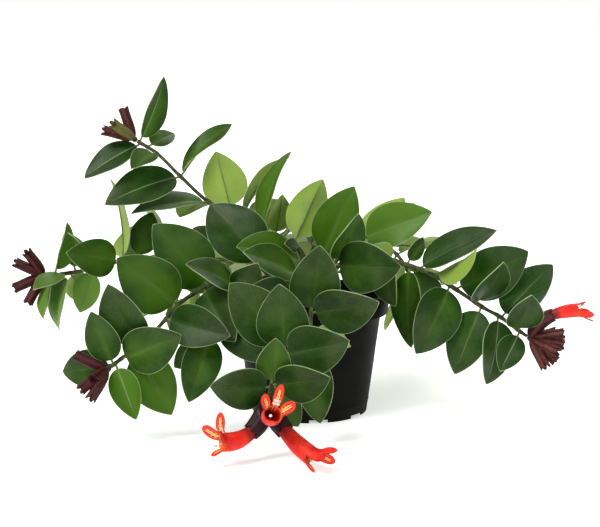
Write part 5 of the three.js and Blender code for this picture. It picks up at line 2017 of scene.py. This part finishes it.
@dataclass
class Pot:
    """A thin nursery pot with a turned-down rim and a drainage channel, in millimetres."""

    finish: PotFinish = PotFinish()
    height: float = 90.0
    base_radius: float = 43.9
    rim_radius: float = 60.2
    rim_depth: float = 14.0
    rim_step: float = 4.2
    rim_taper: float = 0.6
    wall: float = 1.3
    foot_radius: float = 35.0
    foot_slope: float = 1.5
    channel: float = 2.6
    notches: int = 8
    notch_width: float = 14.0
    notch_depth: float = 8.0
    notch_height: float = 2.4
    drain_radius: float = 2.2
    drain_reach: float = 16.0
    segments: int = 128
    drain_segments: int = 20
    softness: float = 0.35  # of its edges
    rim_thinning: float = 0.2
    foot_edge: Span = (0.6, 0.15)  # inwards and up
    bead: tuple[Place, ...] = (
        (8, 8, 0), (8.3, 8.6, 0.25), (9.2, 9.4, 0.25), (9.8, 9.8, 0),
    )  # the height that gives its radius, its own height, and how far it stands out

    NOTCH_TURN, DRAIN_TURN = 0.2, 0.7  # in steps from one notch to the next

    def wall_radius(self, z: float) -> float:
        """Return the radius of the wall's outside at a height."""
        under_rim = self.rim_radius - self.rim_step
        return self.base_radius + (under_rim - self.base_radius) * z / (self.height - self.wall)

    def profile(self) -> list[tuple[float, float]]:
        """Return the section as (radius, height), from under the middle to the inner floor."""
        h, w, r, soft = self.height, self.wall, self.rim_radius, self.softness
        foot, top = h - self.rim_depth, self.channel + self.wall
        inner = r - w - self.rim_thinning
        back, up = self.foot_edge
        return [
            (self.foot_radius - back, 0), (self.foot_radius, up),
            (self.foot_radius + self.foot_slope, self.channel),
            (self.base_radius - w, self.channel), (self.base_radius - w, 0),
            (self.base_radius - soft, 0), (self.base_radius, soft),
            *((self.wall_radius(at) + out, z) for at, z, out in self.bead),
            (self.wall_radius(h - w), h - w), (inner, h - w), (inner - self.rim_taper, foot),
            (r - self.rim_taper - soft, foot), (r - self.rim_taper, foot + soft),
            (r, h - soft), (r - soft, h), (self.wall_radius(h) - w + soft, h),
            (self.wall_radius(h) - w, h - soft), (self.wall_radius(top) - w, top),
        ]

    def turned(self, steps: float) -> Matrix:
        """Return the turn about the pot's axis by steps from one notch to the next."""
        return Quaternion(UP, steps / self.notches * tau).to_matrix().to_4x4()

    def cutter(self) -> Piece:
        """Return the notches and drain holes as one shape."""
        shape = bmesh.new()
        middle = (self.foot_radius + self.base_radius) / 2
        for i in range(self.notches):
            turned = self.turned(i + self.NOTCH_TURN)
            made = bmesh.ops.create_cube(shape, size=MM)
            for vertex in made["verts"]:
                x, y, z = vertex.co
                spot = Vector((x * self.notch_depth + self.base_radius * MM,
                               y * self.notch_width, z * 2 * self.notch_height))
                vertex.co = turned @ spot
            turned = self.turned(i + self.DRAIN_TURN)
            made = bmesh.ops.create_cone(
                shape, cap_ends=True, segments=self.drain_segments, depth=self.drain_reach * MM,
                radius1=self.drain_radius * MM, radius2=self.drain_radius * MM)
            for vertex in made["verts"]:
                vertex.co = turned @ (vertex.co + Vector((middle * MM, 0, 0)))
        return link("drainage", mesh_from(shape, "drainage"))

    def dress(self) -> None:
        """Turn the pot, cut its drainage and let it stand for its solid."""
        sheet = Sheet()
        sheet.tube([level_ring(radius, z, self.segments) for radius, z in self.profile()])
        pot = link("nursery_pot", sheet.mesh("nursery_pot"), self.finish.material())
        cutter = self.cutter()
        cut = pot.modifiers.new("drainage", "BOOLEAN")
        cut.object, cut.operation, cut.solver = cutter, "DIFFERENCE", "EXACT"
        settle(pot)
        bpy.data.objects.remove(cutter)
        soften(pot, 35.0)
        hand_over(pot, Slot.POT, ["pot"])


@dataclass
class Soil:
    """Potting soil with a rough top and loose crumbs, in millimetres."""

    pot: Pot
    finish: SoilFinish = SoilFinish()
    top: float = 79.0
    crown: float = 3.0
    gap: float = 0.3
    rings: int = 30
    segments: int = 96
    roughness: float = 1.1
    crumb_density: float = 2.6e5  # to a square metre
    seed: int = 7
    crumb_seed: int = 11
    lid_shares: tuple[float, ...] = (0.97, 0.6, 0.25)  # rings of the surface that bears crumbs

    def surface_row(self, share: float, draw: SeededDraws) -> Row:
        """Return a ring of the rough top.

        Args:
            share: of the top's radius.
            draw: gives its roughness.

        Returns:
            The ring's points.
        """
        radius = (self.pot.wall_radius(self.top) - self.pot.wall - self.gap) * share
        row: Row = []
        for k in range(self.segments):
            angle = k * tau / self.segments
            x, y = radius * cos(angle), radius * sin(angle)
            waves = sin(x * 0.31 + 2) * cos(y * 0.27) + 0.5 * sin(x * 0.8 - y * 0.7)
            rough = self.roughness * (0.6 * waves + 0.4 * draw()) * min(1.0, (1 - share) * 8)
            z = self.top + self.crown * (1 - share) + rough
            row.append((Vector((x, y, z)), Vector()))
        return row

    def dress(self) -> None:
        """Make the soil and its crumbs, and let them stand for the solid."""
        draw = SeededDraws(self.seed)
        floor = self.pot.channel + self.pot.wall + self.gap
        low = self.pot.wall_radius(floor) - self.pot.wall - self.gap
        rows = [level_ring(low, floor, self.segments)]
        rows += [self.surface_row(i / self.rings, draw) for i in range(self.rings, 0, -1)]
        sheet = Sheet()
        sheet.tube(rows)
        soil = link("potting_soil", sheet.mesh("potting_soil"), self.finish.material())
        soften(soil, 50.0)
        hand_over(soil, Slot.SOIL, ["soil"])
        lid = Sheet()
        lid.grid([self.surface_row(share, draw) for share in self.lid_shares], closed=True)
        crumbs = Scatter("soil_crumbs", crumb_shape).shape(
            "soil_crumbs", lid.mesh("soil_lid"), {
                "Density": self.crumb_density, "Seed": self.crumb_seed, "Least size": 0.5 * MM,
                "Most size": 1.9 * MM, "Tilt": 3.0, "Finish": self.finish.crumb(),
            })
        hand_over(crumbs, Slot.SOIL, ["soil"])


# Studio.


@dataclass(frozen=True)
class SoftLight:
    """A distant light, by the place that it shines from, its strength and its width in degrees."""

    name: str
    place: Place
    strength: float
    width: float


@dataclass
class Studio:
    """Pale floor, soft light and the camera, in metres and degrees."""

    camera_place: Place = (-0.00675, -1.0855, 0.2894)
    camera_dip: float = 9.3
    focal_length: float = 88.02  # this and the next in millimetres
    sensor_width: float = 36.0
    clip: Span = (0.01, 100.0)
    floor_colour: Colour = (0.92, 0.92, 0.92)
    floor_glow: float = 0.50
    floor_reach: float = 30.0
    backdrop_strength: float = 1.0
    sky_strength: float = 0.36
    lights: tuple[SoftLight, ...] = (
        SoftLight("key", (-0.7, -0.6, 1.1), 3.0, 26.0),
        SoftLight("fill", (0.8, -0.8, 0.5), 0.6, 60.0),
        SoftLight("back", (0.3, 0.9, 0.8), 1.3, 45.0),
    )

    def add_camera(self) -> None:
        """Place the camera."""
        camera = bpy.data.cameras.new("camera")
        camera.lens, camera.sensor_width = self.focal_length, self.sensor_width
        camera.sensor_fit = "HORIZONTAL"
        camera.clip_start, camera.clip_end = self.clip
        holder = link("camera", camera)
        holder.location = self.camera_place
        holder.rotation_euler = (radians(90 - self.camera_dip), 0.0, 0.0)
        bpy.context.scene.camera = holder

    def add_light(self, light: SoftLight) -> None:
        """Add a light that shines from the side of its place."""
        lamp = bpy.data.lights.new(light.name, "SUN")
        lamp.energy, lamp.angle = light.strength, radians(light.width)
        holder = link(light.name, lamp)
        holder.location = light.place
        holder.rotation_euler = Vector(light.place).to_track_quat("Z", "Y").to_euler()

    def add_sky(self) -> None:
        """Add a white backdrop that lights the part less than it shows."""
        world = bpy.data.worlds.new("studio")
        world.use_nodes = True
        sky = Formula(world.node_tree)
        seen = sky.take("ShaderNodeLightPath", output="Is Camera Ray")
        strength = seen * (self.backdrop_strength - self.sky_strength) + self.sky_strength
        backdrop = world.node_tree.nodes["Background"]
        backdrop.inputs["Color"].default_value = (1.0, 1.0, 1.0, 1.0)
        sky.tree.links.new(strength.socket, backdrop.inputs["Strength"])
        bpy.context.scene.world = world

    def build(self) -> None:
        """Make the floor, the sky, the lights and the camera."""
        bpy.context.scene.view_settings.view_transform = "Standard"
        self.add_sky()
        shape = bmesh.new()
        bmesh.ops.create_grid(shape, x_segments=1, y_segments=1, size=self.floor_reach)
        coat = Coat("floor", self.floor_colour, 0.9, shine=0.0)
        coat.put("Emission Color", (1.0, 1.0, 1.0, 1.0))
        coat.put("Emission Strength", self.floor_glow)
        floor = link("floor", mesh_from(shape, "floor"), coat.material)
        for light in self.lights:
            self.add_light(light)
        self.add_camera()


# Assembly.


def main() -> None:
    """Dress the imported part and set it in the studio."""
    logging.basicConfig(level=logging.INFO, format="%(name)s: %(message)s")
    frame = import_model()
    Studio().build()
    pot = Pot()
    pot.dress()
    Soil(pot).dress()
    foliage, flowers = Foliage(), Flowers()
    for index, row in enumerate(SHOOTS):
        shoot = Shoot(row, FIRST_SEED + index, frame["nodes"][f"shoot_{row.name}"])
        foliage.dress(shoot)
        if row.flowers:
            flowers.dress(shoot)


if __name__ == "__main__":
    main()
